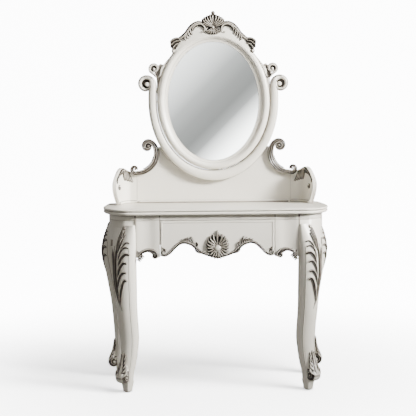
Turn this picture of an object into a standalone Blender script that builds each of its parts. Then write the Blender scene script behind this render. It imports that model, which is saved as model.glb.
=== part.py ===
"""Vanity table with an oval swing mirror, in carved and painted wood.

Metres, +Z up, front towards -Y, floor at z = 0, centred on x = 0 and y = 0.
Three bodies move: the table, one wide drawer, and the mirror in its yoke.
"""

import math

import bmesh
import bpy
from mathutils import Vector

GAP = 0.0004  # glue line or play left between neighbours

TOP_Z = 0.760
TOP_UNDER_Z = 0.735
TOP_FRONT_Y = -0.215
TOP_BACK_Y = 0.215
TOP_HALF_WIDTH = 0.478
OVERHANG = 0.024
FRAME_TOP_Z = TOP_UNDER_Z - GAP

DRAWER_HALF = 0.2350
DRAWER_TOP_Z = 0.7130
FRONT_FACE_Y = -0.193
FRONT_BACK_Y = -0.173
PANEL_END_X = 0.330
BOX_HALF = 0.2180
BOX_BOTTOM_Z = 0.628
BOX_TOP_Z = 0.700
BOX_BACK_Y = 0.135

MIRROR_Y = 0.168
MIRROR_Z = 1.208
RING_A, RING_B = 0.248, 0.302
GLASS_A, GLASS_B = 0.2044, 0.2640
YOKE_Y = (0.1535, 0.1865)
BOARD_Y = (0.1872, 0.2050)
VOLUTE = (0.2950, 1.2880)
CREST_BACK_Y = MIRROR_Y - 0.0130 - GAP

IVORY = (0.77, 0.75, 0.70)
GLAZE = (0.36, 0.34, 0.31)
BEECH = (0.62, 0.47, 0.31)
PLY = (0.58, 0.45, 0.31)


def clear_scene():
    for obj in list(bpy.data.objects):
        bpy.data.objects.remove(obj, do_unlink=True)


def material(name, color, roughness, metallic=0.0):
    mat = bpy.data.materials.new(name)
    mat.use_nodes = True
    shader = mat.node_tree.nodes["Principled BSDF"]
    shader.inputs["Base Color"].default_value = (*color, 1.0)
    shader.inputs["Roughness"].default_value = roughness
    shader.inputs["Metallic"].default_value = metallic
    return mat


def make_materials():
    return {
        "paint": material("ivory_paint", IVORY, 0.38),
        "glaze": material("glazed_carving", GLAZE, 0.45),
        "beech": material("beech", BEECH, 0.55),
        "ply": material("plywood", PLY, 0.60),
        "silver": material("mirror_silver", (0.88, 0.89, 0.89), 0.03, 1.0),
        "brass": material("brass", (0.72, 0.56, 0.30), 0.35, 1.0),
        "steel": material("zinc_steel", (0.62, 0.62, 0.62), 0.40, 1.0),
        "nylon": material("nylon_glide", (0.80, 0.79, 0.76), 0.50),
    }


def finish(name, bm, mat, smooth=False, parent=None):
    """Turns a bmesh into a named object whose faces all point outwards."""
    bmesh.ops.recalc_face_normals(bm, faces=bm.faces)
    if bm.calc_volume(signed=True) < 0:
        bmesh.ops.reverse_faces(bm, faces=bm.faces)
    mesh = bpy.data.meshes.new(name)
    bm.to_mesh(mesh)
    bm.free()
    for polygon in mesh.polygons:
        polygon.use_smooth = smooth
    obj = bpy.data.objects.new(name, mesh)
    bpy.context.scene.collection.objects.link(obj)
    obj.data.materials.append(mat)
    obj.parent = parent
    return obj


def smooth_by_angle(obj, degrees=35.0):
    """Smooth shading that keeps the crisp arrises of flat and turned work."""
    limit = math.radians(degrees)
    for polygon in obj.data.polygons:
        polygon.use_smooth = True
    bm = bmesh.new()
    bm.from_mesh(obj.data)
    for edge in bm.edges:
        edge.smooth = edge.calc_face_angle(0.0) < limit
    bm.to_mesh(obj.data)
    bm.free()
    return obj


def loft(bm, rings):
    """Closed skin through rings of equally many points, with a cap at each end."""
    rows = [[bm.verts.new(point) for point in ring] for ring in rings]
    count = len(rows[0])
    for lower, upper in zip(rows, rows[1:]):
        for i in range(count):
            j = (i + 1) % count
            bm.faces.new((lower[i], lower[j], upper[j], upper[i]))
    bm.faces.new(list(reversed(rows[0])))
    bm.faces.new(rows[-1])


def closed_loft(bm, rings):
    """Skin through rings that themselves close into a loop, like a tyre."""
    rows = [[bm.verts.new(point) for point in ring] for ring in rings]
    count = len(rows[0])
    for k, lower in enumerate(rows):
        upper = rows[(k + 1) % len(rows)]
        for i in range(count):
            j = (i + 1) % count
            bm.faces.new((lower[i], lower[j], upper[j], upper[i]))


def prism(bm, outline, y_range):
    """Board cut to an (x, z) outline, between two depths."""
    front = [(x, y_range[0], z) for x, z in outline]
    back = [(x, y_range[1], z) for x, z in outline]
    loft(bm, (front, back))


def box(bm, low, high):
    rings = []
    for z in (low[2], high[2]):
        corners = ((low[0], low[1]), (high[0], low[1]), (high[0], high[1]), (low[0], high[1]))
        rings.append([(x, y, z) for x, y in corners])
    loft(bm, rings)


def combine(obj, helpers, operation):
    """Unions helper solids into obj, or cuts them from it, then removes the helpers."""
    for helper in helpers:
        helper.hide_render = True
        helper.display_type = "WIRE"
        mod = obj.modifiers.new("with_" + helper.name, "BOOLEAN")
        mod.operation = operation
        mod.solver = "EXACT"
        mod.object = helper
    graph = bpy.context.evaluated_depsgraph_get()
    mesh = bpy.data.meshes.new_from_object(obj.evaluated_get(graph))
    obj.modifiers.clear()
    obj.data = mesh
    for helper in helpers:
        bpy.data.objects.remove(helper, do_unlink=True)
    return obj


def join_solids(obj, extras):
    return combine(obj, extras, "UNION")


def cut_solids(obj, cutters):
    return combine(obj, cutters, "DIFFERENCE")


def mirrored_copy(obj, name):
    """Left-hand twin of a right-hand piece."""
    bm = bmesh.new()
    bm.from_mesh(obj.data)
    for vert in bm.verts:
        vert.co.x = -vert.co.x
    bmesh.ops.reverse_faces(bm, faces=bm.faces)
    mesh = bpy.data.meshes.new(name)
    bm.to_mesh(mesh)
    bm.free()
    for mat in obj.data.materials:
        mesh.materials.append(mat)
    twin = bpy.data.objects.new(name, mesh)
    bpy.context.scene.collection.objects.link(twin)
    return twin


def table_curve(knots, at):
    """Smooth interpolation (Catmull-Rom) of rows (key, a, b, ...) at one key."""
    keys = [row[0] for row in knots]
    if at <= keys[0]:
        return knots[0][1:]
    if at >= keys[-1]:
        return knots[-1][1:]
    i = max(k for k, key in enumerate(keys) if key <= at)
    span = keys[i + 1] - keys[i]
    t = (at - keys[i]) / span
    values = []
    for column in range(1, len(knots[0])):
        here, there = knots[i][column], knots[i + 1][column]
        if i > 0:
            before = (there - knots[i - 1][column]) / (keys[i + 1] - keys[i - 1])
        else:
            before = (there - here) / span
        if i + 2 < len(knots):
            after = (knots[i + 2][column] - here) / (keys[i + 2] - keys[i])
        else:
            after = (there - here) / span
        blend = (2 * t**3 - 3 * t**2 + 1) * here + (t**3 - 2 * t**2 + t) * span * before
        blend += (3 * t**2 - 2 * t**3) * there + (t**3 - t**2) * span * after
        values.append(blend)
    return tuple(values)


def smooth_path(points, per_span=6):
    """Catmull-Rom curve through 2-D points, with centripetal-like end tangents."""
    knots = [(float(k), *point) for k, point in enumerate(points)]
    count = (len(points) - 1) * per_span
    return [table_curve(knots, k / per_span) for k in range(count + 1)]


# ---------------------------------------------------------------- plan shape


def corner_point(angle, inset):
    """Point on the rounded end of the plan: 0 faces the front, 90 the side."""
    half_x = TOP_HALF_WIDTH - 0.340 - inset
    half_y = 0.235 - inset
    power = 2.0 / 2.3
    x = 0.340 + half_x * math.sin(angle) ** power
    y = 0.020 - half_y * math.cos(angle) ** power
    return x, y


def side_x(y, inset):
    """Half width of the plan behind the widest point."""
    t = max(0.0, (y - 0.020) / 0.195)
    return TOP_HALF_WIDTH - inset - 0.012 * t**1.6


def end_path(inset, steps=10):
    """Right-hand half of the plan, from the front straight to the back corner."""
    points = [corner_point(math.radians(90.0 * k / steps), inset) for k in range(steps + 1)]
    back = TOP_BACK_Y - inset
    for t in (0.35, 0.65, 0.88):
        y = 0.020 + (back - 0.020) * t
        points.append((side_x(y, inset), y))
    edge = side_x(back, inset)
    points += [(edge - 0.006, back - 0.004), (edge - 0.018, back)]
    return points


def full_plan(inset):
    right = end_path(inset)
    return right + [(-x, y) for x, y in reversed(right)]


def make_table_top(mats):
    """Slab with a thin upper lip, a quirk and a full half-round below it."""
    profile = (
        (0.7350, 0.0130),
        (0.7360, 0.0080),
        (0.7390, 0.0032),
        (0.7430, 0.0012),
        (0.7470, 0.0030),
        (0.7488, 0.0060),
        (0.7504, 0.0060),
        (0.7514, 0.0015),
        (0.7552, 0.0000),
        (0.7586, 0.0012),
        (0.7600, 0.0040),
    )
    bm = bmesh.new()
    loft(bm, [[(x, y, z) for x, y in full_plan(inset)] for z, inset in profile])
    return smooth_by_angle(finish("table_top", bm, mats["paint"]), 40)


# ---------------------------------------------------------------------- legs

# Per height: how far the ridge stands out from the post face, the depth and
# half width of the section, and the power of its rounded-diamond outline.
FRONT_LEG = (
    (0.036, -0.0030, 0.0190, 0.0200, 2.6),
    (0.050, 0.0000, 0.0230, 0.0240, 2.3),
    (0.080, 0.0030, 0.0270, 0.0275, 2.0),
    (0.120, 0.0010, 0.0320, 0.0330, 1.9),
    (0.170, -0.0010, 0.0360, 0.0370, 1.8),
    (0.230, 0.0010, 0.0395, 0.0415, 1.8),
    (0.340, 0.0165, 0.0420, 0.0450, 1.8),
    (0.450, 0.0255, 0.0430, 0.0500, 1.9),
    (0.560, 0.0270, 0.0390, 0.0540, 2.1),
    (0.620, 0.0210, 0.0330, 0.0560, 2.2),
    (0.665, 0.0090, 0.0240, 0.0550, 2.3),
    (0.695, -0.0030, 0.0140, 0.0520, 2.4),
)
REAR_LEG = (
    (0.036, -0.0180, 0.0190, 0.0200, 2.6),
    (0.050, -0.0150, 0.0230, 0.0240, 2.3),
    (0.080, -0.0110, 0.0270, 0.0275, 2.0),
    (0.120, -0.0120, 0.0320, 0.0330, 1.9),
    (0.200, -0.0100, 0.0380, 0.0390, 1.8),
    (0.330, 0.0020, 0.0410, 0.0420, 1.8),
    (0.430, 0.0190, 0.0430, 0.0440, 1.8),
    (0.540, 0.0370, 0.0470, 0.0470, 1.9),
    (0.600, 0.0320, 0.0430, 0.0490, 2.1),
    (0.665, 0.0130, 0.0300, 0.0500, 2.4),
    (0.695, -0.0060, 0.0140, 0.0480, 2.4),
)


class Leg:
    """Cabriole leg: a lofted shaft whose ridge faces one way in plan."""

    def __init__(self, name, knots, face, heading, post):
        self.name = name
        self.knots = knots
        self.face = Vector((face[0], face[1], 0.0))
        angle = math.radians(heading)
        self.out = Vector((math.sin(angle), -math.cos(angle), 0.0))
        self.across = Vector((math.cos(angle), math.sin(angle), 0.0))
        self.post = post

    def point(self, theta, z):
        """Skin point: theta 0 is the ridge, growing towards the side."""
        ridge, depth, width, power = table_curve(self.knots, z)
        centre = self.face + self.out * (ridge - depth)
        cos, sin = math.cos(theta), math.sin(theta)
        forward = math.copysign(abs(cos) ** (2.0 / power), cos) * depth
        lateral = math.copysign(abs(sin) ** (2.0 / power), sin) * width
        spot = centre + self.out * forward + self.across * lateral
        return Vector((spot.x, spot.y, z))

    def normal(self, theta, z):
        step = 0.02
        along = self.point(theta + step, z) - self.point(theta - step, z)
        up = self.point(theta, z + 0.004) - self.point(theta, z - 0.004)
        return along.cross(up).normalized()


def leg_shaft(leg, mat):
    heights = (0.036, 0.06, 0.085, 0.12, 0.16, 0.22, 0.28, 0.34, 0.4)
    heights += (0.46, 0.52, 0.57, 0.62, 0.66, 0.695)
    rings = []
    for z in heights:
        rings.append([leg.point(2 * math.pi * k / 16 + 0.001, z) for k in range(16)])
    bm = bmesh.new()
    loft(bm, rings)
    return finish(leg.name + "_right", bm, mat, smooth=True)


def leg_post(leg, mat):
    """Curved corner block that carries the leg up to the table top."""
    outer = leg.post
    centre = Vector((sum(p[0] for p in outer), sum(p[1] for p in outer))) / len(outer)
    inner = []
    for x, y in reversed(outer):
        inward = (Vector((0.30, centre.y * 0.55)) - Vector((x, y))).normalized()
        inner_x = max(x + inward.x * 0.034, PANEL_END_X + GAP)
        inner.append((inner_x, y + inward.y * 0.034))
    bm = bmesh.new()
    plan = outer + inner
    loft(bm, [[(x, y, z) for x, y in plan] for z in (0.628, FRAME_TOP_Z)])
    return finish(leg.name + "_post", bm, mat)


def leg_toe(leg, mat):
    """Rolled toe: a short cylinder lying across the leg's heading."""
    ridge = table_curve(leg.knots, 0.066)[0]
    centre = leg.face + leg.out * (ridge + 0.006) + Vector((0, 0, 0.066))
    rings = []
    for offset, radius in ((-0.020, 0.017), (-0.014, 0.0235), (0.014, 0.0235), (0.020, 0.017)):
        ring = []
        for k in range(16):
            angle = 2 * math.pi * k / 16
            spoke = leg.out * math.cos(angle) + Vector((0, 0, 1)) * math.sin(angle)
            ring.append(centre + spoke * radius + leg.across * offset)
        rings.append(ring)
    bm = bmesh.new()
    loft(bm, rings)
    return finish(leg.name + "_toe", bm, mat)


def leg_pad(leg, mat):
    """Tapered square pad between the toe and the glide."""
    ridge, depth = table_curve(leg.knots, 0.05)[:2]
    centre = leg.face + leg.out * (ridge - depth)
    rings = []
    for z, half in ((0.0034, 0.0165), (0.024, 0.0195), (0.046, 0.0225)):
        ring = []
        for k in range(8):
            angle = math.radians(45.0 * k + 22.5)
            spoke = leg.out * math.cos(angle) + leg.across * math.sin(angle)
            ring.append(centre + spoke * half * 1.06 + Vector((0, 0, z)))
        rings.append(ring)
    bm = bmesh.new()
    loft(bm, rings)
    return finish(leg.name + "_pad", bm, mat)


def skin_stroke(name, leg, path, widths, height, mat):
    """Tapered carved ridge that follows (lateral metres, z) over the leg skin."""
    rings = []
    for k, (lateral, z) in enumerate(path):
        width = table_curve(leg.knots, z)[2]
        theta = lateral / width * 1.15
        ahead = path[min(k + 1, len(path) - 1)]
        behind = path[max(k - 1, 0)]
        spot, up = leg.point(theta, z), leg.normal(theta, z)
        nxt = leg.point(ahead[0] / table_curve(leg.knots, ahead[1])[2] * 1.15, ahead[1])
        prev = leg.point(behind[0] / table_curve(leg.knots, behind[1])[2] * 1.15, behind[1])
        sideways = up.cross((nxt - prev).normalized()).normalized() * widths[k]
        peak = height * min(1.0, widths[k] / max(widths) + 0.25)
        low = up * -0.004
        rings.append([spot + sideways + low, spot + up * peak, spot - sideways + low])
    bm = bmesh.new()
    loft(bm, rings)
    return finish(name, bm, mat)


def knee_leaf(leg, mat, top, tip, lobes):
    """Acanthus spray: a long stem and comma-shaped lobes down one side of it."""
    strokes = []
    steps = 5
    stem = []
    for k in range(steps + 1):
        t = k / steps
        stem.append((0.004 * math.sin(math.pi * t), top + (tip - top) * t))
    taper = [0.0035 + 0.0045 * math.sin(math.pi * min(1.0, k / 5 + 0.12)) for k in range(6)]
    strokes.append(skin_stroke(leg.name + "_stem", leg, stem, taper, 0.0055, mat))
    for k in range(lobes):
        for way in (-1, 1):
            start = top - 0.030 - (top - tip) * 0.62 * k / lobes
            reach = 0.027 - 0.002 * k if way < 0 else 0.021 - 0.001 * k
            path = [
                (way * reach, start),
                (way * (reach - 0.002), start - 0.014),
                (way * (reach * 0.72), start - 0.032),
                (way * 0.0105, start - 0.054),
            ]
            sizes = (0.0032, 0.0052, 0.0042, 0.0012)
            label = f"{leg.name}_lobe_{k}_{way}"
            strokes.append(skin_stroke(label, leg, path, sizes, 0.0060, mat))
    return strokes


def make_leg(leg, mats, leaf_top, leaf_tip, lobes):
    shaft = leg_shaft(leg, mats["paint"])
    extras = [leg_post(leg, mats["paint"]), leg_toe(leg, mats["paint"])]
    extras += [leg_pad(leg, mats["paint"])]
    extras += knee_leaf(leg, mats["glaze"], leaf_top, leaf_tip, lobes)
    return smooth_by_angle(join_solids(shaft, extras), 50)


def front_post_plan():
    points = [(PANEL_END_X + GAP, FRONT_FACE_Y + 0.002), (0.345, FRONT_FACE_Y + 0.0018)]
    for degrees in (20, 32, 44, 56, 66):
        points.append(corner_point(math.radians(degrees), OVERHANG))
    return points


def rear_post_plan():
    points = []
    for y in (0.092, 0.120, 0.150, 0.178):
        points.append((side_x(y, OVERHANG), y))
    points.append((side_x(0.190, OVERHANG) - 0.004, 0.1905))
    return points


def make_legs(mats):
    """Right-hand legs with their glides, and their left-hand twins."""
    front = Leg("leg_front", FRONT_LEG, (0.390, -0.1745), 40, front_post_plan())
    rear = Leg("leg_rear", REAR_LEG, (0.455, 0.145), 90, rear_post_plan())
    for leg, leaf_top, leaf_tip, lobes in ((front, 0.672, 0.352, 5), (rear, 0.660, 0.430, 4)):
        made = make_leg(leg, mats, leaf_top, leaf_tip, lobes)
        smooth_by_angle(mirrored_copy(made, leg.name + "_left"), 50)
        for side, label in ((-1, "left"), (1, "right")):
            make_glide(leg, side, label, mats)


def make_glide(leg, side, label, mats):
    ridge, depth = table_curve(leg.knots, 0.05)[:2]
    centre = leg.face + leg.out * (ridge - depth)
    bm = bmesh.new()
    rings = []
    for z, radius in ((0.0, 0.0120), (0.0012, 0.0135), (0.0030, 0.0135)):
        ring = []
        for k in range(16):
            angle = 2 * math.pi * k / 16
            ring.append((radius * math.cos(angle), radius * math.sin(angle), z))
        rings.append(ring)
    loft(bm, rings)
    name = leg.name.replace("leg", "glide") + "_" + label
    glide = finish(name, bm, mats["nylon"])
    glide.location = (centre.x * side, centre.y, 0.0)
    return smooth_by_angle(glide)


# --------------------------------------------------------------------- apron


def mirrored(points):
    return [(-x, z) for x, z in reversed(points)]


def drawer_edge():
    """Right half of the drawer front's scalloped lower edge, centre outwards."""
    knots = [(0.0, 0.5550), (0.030, 0.5620), (0.054, 0.5700), (0.072, 0.5790), (0.090, 0.5950)]
    knots += [(0.110, 0.6105), (0.137, 0.6170), (0.160, 0.6095), (0.1815, 0.5900), (0.197, 0.5730)]
    knots += [(0.2155, 0.5645), (DRAWER_HALF, 0.5680)]
    return smooth_path(knots, 3)


def make_drawer_front(mats):
    lower = drawer_edge()
    outline = [(-DRAWER_HALF, DRAWER_TOP_Z), (-DRAWER_HALF, lower[-1][1])]
    outline += mirrored(lower)[1:-1] + lower
    outline += [(DRAWER_HALF, DRAWER_TOP_Z)]
    bm = bmesh.new()
    prism(bm, outline, (FRONT_FACE_Y, FRONT_BACK_Y))
    return finish("drawer_front", bm, mats["paint"])


def panel_edge():
    """Lower edge of the panel beside the drawer, from the drawer to the leg."""
    start = DRAWER_HALF + 0.0015
    knots = [(start, 0.563), (0.250, 0.561), (0.265, 0.571), (0.280, 0.582), (0.300, 0.584)]
    knots += [(0.318, 0.573), (PANEL_END_X, 0.559)]
    return smooth_path(knots, 3)


def make_apron_panel(side, label, mats):
    """Panel between the drawer and the leg, with a shallow hollow down its face."""
    lower = panel_edge()
    columns = []
    for k, (x, z) in enumerate(lower):
        hollow = 0.0045 * math.sin(math.pi * k / (len(lower) - 1)) ** 2
        columns.append((x * side, z, FRONT_FACE_Y + hollow))
    rings = []
    for x, z, y in columns:
        ring = [(x, y, z), (x, FRONT_BACK_Y, z)]
        ring += [(x, FRONT_BACK_Y, FRAME_TOP_Z), (x, y, FRAME_TOP_Z)]
        rings.append(ring)
    bm = bmesh.new()
    loft(bm, rings)
    return smooth_by_angle(finish("apron_panel_" + label, bm, mats["paint"]), 30)


def make_top_rail(mats):
    bm = bmesh.new()
    half = DRAWER_HALF + 0.0011
    box(bm, (-half, FRONT_FACE_Y, DRAWER_TOP_Z + 0.0015), (half, -0.150, FRAME_TOP_Z))
    return finish("top_rail_front", bm, mats["paint"])


def make_apron_end(side, label, mats):
    """Bowed end rail between the front and the rear leg, cut to a low arch."""
    start = corner_point(math.radians(66), OVERHANG)
    stations = [start]
    for degrees in (72, 78, 84, 90):
        stations.append(corner_point(math.radians(degrees), OVERHANG))
    for y in (0.045, 0.068):
        stations.append((side_x(y, OVERHANG), y))
    stations[0] = (start[0], start[1] + 0.0006)
    stations.append((side_x(0.0886, OVERHANG), 0.0886))
    length = stations[-1][1] - stations[0][1]
    rings = []
    for x, y in stations:
        t = (y - stations[0][1]) / length
        low = 0.600 + 0.020 * math.sin(math.pi * t)
        ring = [(x * side, y, low), ((x - 0.020) * side, y, low)]
        ring += [((x - 0.020) * side, y, FRAME_TOP_Z), (x * side, y, FRAME_TOP_Z)]
        rings.append(ring)
    bm = bmesh.new()
    loft(bm, rings)
    return smooth_by_angle(finish("apron_end_" + label, bm, mats["paint"]), 30)


def make_apron_rear(mats):
    half = 0.3960
    outline = [(-half, FRAME_TOP_Z), (-half, 0.600)]
    for k in range(13):
        t = k / 12
        outline.append((-0.34 + 0.68 * t, 0.600 + 0.030 * math.sin(math.pi * t)))
    outline += [(half, 0.600), (half, FRAME_TOP_Z)]
    bm = bmesh.new()
    prism(bm, outline, (0.1705, 0.1885))
    return finish("apron_rear", bm, mats["paint"])


# -------------------------------------------------------------- drawer works


def make_drawer_guides(side, label, mats):
    """L-section rail: the ledge carries the drawer, the upright guides it."""
    inner, outer = BOX_HALF + 0.0015, BOX_HALF + 0.0185
    ledge = BOX_HALF - 0.0160
    z_low, z_seat, z_high = 0.6120, BOX_BOTTOM_Z - 0.0008, 0.6900
    outline = [(ledge, z_low), (outer, z_low), (outer, z_high)]
    outline += [(inner, z_high), (inner, z_seat), (ledge, z_seat)]
    bm = bmesh.new()
    front, back = FRONT_BACK_Y + GAP, 0.1700
    rings = []
    for y in (front, back):
        rings.append([(x * side, y, z) for x, z in outline])
    loft(bm, rings)
    return finish("drawer_guide_" + label, bm, mats["beech"])


def make_drawer_side(side, label, mats):
    """Drawer side with a groove for the bottom panel."""
    outer, inner = BOX_HALF, BOX_HALF - 0.0120
    groove = BOX_HALF - 0.0070
    outline = [(outer, BOX_BOTTOM_Z), (outer, BOX_TOP_Z), (inner, BOX_TOP_Z)]
    outline += [(inner, 0.6392), (groove, 0.6392), (groove, 0.6338), (inner, 0.6338)]
    outline += [(inner, BOX_BOTTOM_Z)]
    rings = []
    for y in (FRONT_BACK_Y + GAP, BOX_BACK_Y):
        rings.append([(x * side, y, z) for x, z in outline])
    bm = bmesh.new()
    loft(bm, rings)
    return finish("drawer_side_" + label, bm, mats["beech"])


def make_drawer_box(mats):
    inner = BOX_HALF - 0.0124
    bm = bmesh.new()
    box(bm, (-inner, BOX_BACK_Y - 0.012, 0.6396), (inner, BOX_BACK_Y, BOX_TOP_Z - 0.006))
    finish("drawer_back", bm, mats["beech"])
    wide = BOX_HALF - 0.0075
    bm = bmesh.new()
    box(bm, (-wide, FRONT_BACK_Y + GAP, 0.6342), (wide, BOX_BACK_Y, 0.6388))
    finish("drawer_bottom", bm, mats["ply"])


def make_drawer_stop(side, label, mats):
    bm = bmesh.new()
    x = BOX_HALF - 0.0080
    low = (x - 0.0070, BOX_BACK_Y + 0.0006, BOX_BOTTOM_Z - GAP)
    high = (x + 0.0070, BOX_BACK_Y + 0.0200, 0.6500)
    box(bm, low, high)
    for vert in bm.verts:
        vert.co.x *= side
    return finish("drawer_stop_" + label, bm, mats["beech"])


# ------------------------------------------------------------ carved details


def ribbon(bm, path, widths, y_back, y_front, soften=0.35):
    """Moulded band along an (x, z) path, with its face rounded over."""
    rings = []
    rise = y_back - y_front
    for k, (x, z) in enumerate(path):
        ahead = Vector(path[min(k + 1, len(path) - 1)])
        behind = Vector(path[max(k - 1, 0)])
        direction = (ahead - behind).normalized()
        across = Vector((-direction.y, direction.x))
        half = widths[k] / 2
        ring = []
        for offset, depth in (
            (-1.0, 0.0),
            (-1.0, 1.0 - soften),
            (-0.55, 1.0),
            (0.55, 1.0),
            (1.0, 1.0 - soften),
            (1.0, 0.0),
        ):
            ring.append((x + across.x * half * offset, y_back - rise * depth,
                         z + across.y * half * offset))
        rings.append(ring)
    loft(bm, rings)


def spiral(centre, start, turn, radii, steps):
    """Points of a spiral: angles in degrees, radius easing from first to last."""
    points = []
    for k in range(steps + 1):
        t = k / steps
        angle = math.radians(start + turn * t)
        radius = radii[0] + (radii[1] - radii[0]) * t**0.8
        points.append((centre[0] + radius * math.cos(angle), centre[1] + radius * math.sin(angle)))
    return points


def coil(centre, knots, steps):
    """Spiral through knots of (share of the way, degrees, radius)."""
    points = []
    for k in range(steps + 1):
        degrees, radius = table_curve(knots, k / steps)
        angle = math.radians(degrees)
        points.append((centre[0] + radius * math.cos(angle), centre[1] + radius * math.sin(angle)))
    return points


def spread(values, count):
    """Widths spaced evenly over a path: a short list stretched to count values."""
    knots = [(float(k), value) for k, value in enumerate(values)]
    last = len(values) - 1
    return [table_curve(knots, last * k / (count - 1))[0] for k in range(count)]


def flip(points, side):
    return [(x * side, z) for x, z in points]


def disc(name, centre, radius, y_back, y_front, mat, side):
    bm = bmesh.new()
    rings = []
    for y, size in ((y_back, 1.0), (y_front + 0.002, 1.0), (y_front, 0.75)):
        ring = []
        for k in range(14):
            angle = 2 * math.pi * k / 14
            ring.append((side * (centre[0] + radius * size * math.cos(angle)), y,
                         centre[1] + radius * size * math.sin(angle)))
        rings.append(ring)
    loft(bm, rings)
    return finish(name, bm, mat)


def make_band(name, path, widths, depths, mat, side, eyes=()):
    """One applied carving: a tapering band, with a bead at the end of each volute."""
    bm = bmesh.new()
    ribbon(bm, flip(path, side), widths, *depths)
    band = finish(name, bm, mat)
    beads = []
    for k, (centre, radius) in enumerate(eyes):
        beads.append(disc(f"{name}_eye_{k}", centre, radius, *depths, mat, side))
    if beads:
        join_solids(band, beads)
    return smooth_by_angle(band, 32)


def make_drawer_scroll(side, label, mats):
    """S-scroll along the lower edge of the drawer front."""
    edge = drawer_edge()
    path = [(x, z + 0.0072) for x, z in edge if 0.056 < x < 0.206]
    curl = spiral((0.2180, 0.5830), 262, 260, (0.0105, 0.0050), 9)[1:]
    widths = spread((0.0090, 0.0125, 0.0130, 0.0130, 0.0120), len(path))
    widths += spread((0.0105, 0.0080, 0.0040), len(curl))
    path += curl
    depths = (FRONT_FACE_Y - GAP, FRONT_FACE_Y - 0.0070)
    return make_band("drawer_scroll_" + label, path, widths, depths, mats["glaze"], side)


def make_apron_scroll(side, label, mats):
    """C-scroll under the side panel, curling up beside the drawer."""
    curl = list(reversed(spiral((0.2590, 0.5700), 165, 290, (0.0105, 0.0045), 12)))
    arch = smooth_path([(0.2500, 0.5760), (0.2590, 0.5870), (0.2760, 0.5925), (0.2930, 0.5915)], 3)
    arch += smooth_path([(0.2930, 0.5915), (0.3080, 0.5850), (0.3180, 0.5745), (0.3245, 0.5640)], 3)[1:]
    path = curl + arch
    widths = spread((0.0035, 0.0070, 0.0095), len(curl))
    widths += spread((0.0110, 0.0140, 0.0150, 0.0150, 0.0140, 0.0090), len(arch))
    depths = (FRONT_FACE_Y - GAP, FRONT_FACE_Y - 0.0080)
    return make_band("apron_scroll_" + label, path, widths, depths, mats["glaze"], side)


def shell(name, centre, outline, lobes, y_back, depth, mat):
    """Fluted rosette: radial lobes between a sunk centre and a scalloped rim."""
    per_lobe = 3
    count = lobes * per_lobe
    rings = []
    for share, rise in ((1.0, 0.0), (1.0, 0.45), (0.80, 0.95), (0.50, 1.0), (0.22, 0.72)):
        ring = []
        for k in range(count):
            angle = 2 * math.pi * k / count
            wave = 0.5 + 0.5 * math.cos(2 * math.pi * k / per_lobe)
            radius = outline(angle) * share * (1.0 - 0.10 * (1.0 - wave) * (share > 0.7))
            height = depth * rise * (1.0 - 0.42 * (1.0 - wave) * (rise > 0.4))
            ring.append((centre[0] + radius * math.sin(angle), y_back - height,
                         centre[1] + radius * math.cos(angle)))
        rings.append(ring)
    bm = bmesh.new()
    loft(bm, rings)
    return smooth_by_angle(finish(name, bm, mat), 60)


def drawer_shell_radius(angle):
    up = 0.5 + 0.5 * math.cos(angle)
    return 0.046 + 0.010 * up + 0.010 * up**12 + 0.006 * (1 - up) ** 2


def make_drawer_shell(mats):
    y = FRONT_FACE_Y - GAP
    return shell("drawer_shell", (0, 0.6045), drawer_shell_radius, 17, y, 0.0130, mats["glaze"])


def crest_shell_radius(angle):
    up = 0.5 + 0.5 * math.cos(angle)
    waist = math.exp(-((abs(math.sin(angle)) - 1.0) ** 2) / 0.10)
    return 0.042 + 0.014 * up + 0.012 * up**14 - 0.019 * waist


def make_crest_shell(mats):
    fan = shell("crest_shell", (0, 1.5330), crest_shell_radius, 15, CREST_BACK_Y, 0.0160, mats["glaze"])
    cut_solids(fan, [ring_clearance(0, mats)])
    return smooth_by_angle(fan, 60)


# -------------------------------------------------------------------- mirror


def ellipse(half_x, half_z, degrees):
    angle = math.radians(degrees)
    return half_x * math.cos(angle), MIRROR_Z + half_z * math.sin(angle)


def make_mirror_frame(mats, parent):
    """Moulded oval: outer round, long inner hollow, rebate for the glass."""
    section = (
        (0.0000, 0.0150),
        (0.0000, -0.0070),
        (0.0020, -0.0120),
        (0.0070, -0.0170),
        (0.0130, -0.0197),
        (0.0190, -0.0200),
        (0.0240, -0.0180),
        (0.0300, -0.0135),
        (0.0360, -0.0098),
        (0.0415, -0.0080),
        (0.0450, -0.0075),
        (0.0457, -0.0020),
        (0.0398, -0.0020),
        (0.0398, 0.0150),
    )
    rings = []
    for k in range(56):
        angle = 2 * math.pi * k / 56
        ring = []
        for inset, y in section:
            x = (RING_A - inset * 1.07) * math.cos(angle)
            z = (RING_B - inset * 0.93) * math.sin(angle)
            ring.append((x, y, z))
        rings.append(ring)
    bm = bmesh.new()
    closed_loft(bm, rings)
    oval = finish("mirror_frame", bm, mats["paint"])
    cut_solids(oval, pin_holes("oval_drill", (0.2404, 0.2510), mats, (0, 0, 0)))
    oval.parent = parent
    return smooth_by_angle(oval, 42)


def oval_plate(name, half_x, half_z, y_range, mat, parent):
    bm = bmesh.new()
    rings = []
    for y in y_range:
        ring = []
        for k in range(64):
            angle = 2 * math.pi * k / 64
            ring.append((half_x * math.cos(angle), y, half_z * math.sin(angle)))
        rings.append(ring)
    loft(bm, rings)
    return finish(name, bm, mat, parent=parent)


def crest_outline():
    """Right half of the head board: outer silhouette, crown outwards and down."""
    knots = [(0.0, 1.566), (0.040, 1.556), (0.067, 1.558), (0.095, 1.541), (0.120, 1.515)]
    knots += [(0.140, 1.497), (0.166, 1.474), (0.186, 1.462), (0.176, 1.418)]
    upper = smooth_path(knots[:7], 3) + knots[7:]
    lower = [(0.1980, 1.3930), (0.2160, 1.3720), (0.2290, 1.3560), (0.2352, 1.3400)]
    lower += [(0.2352, 1.3250), (0.2400, 1.3120)]
    return upper + lower


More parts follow.
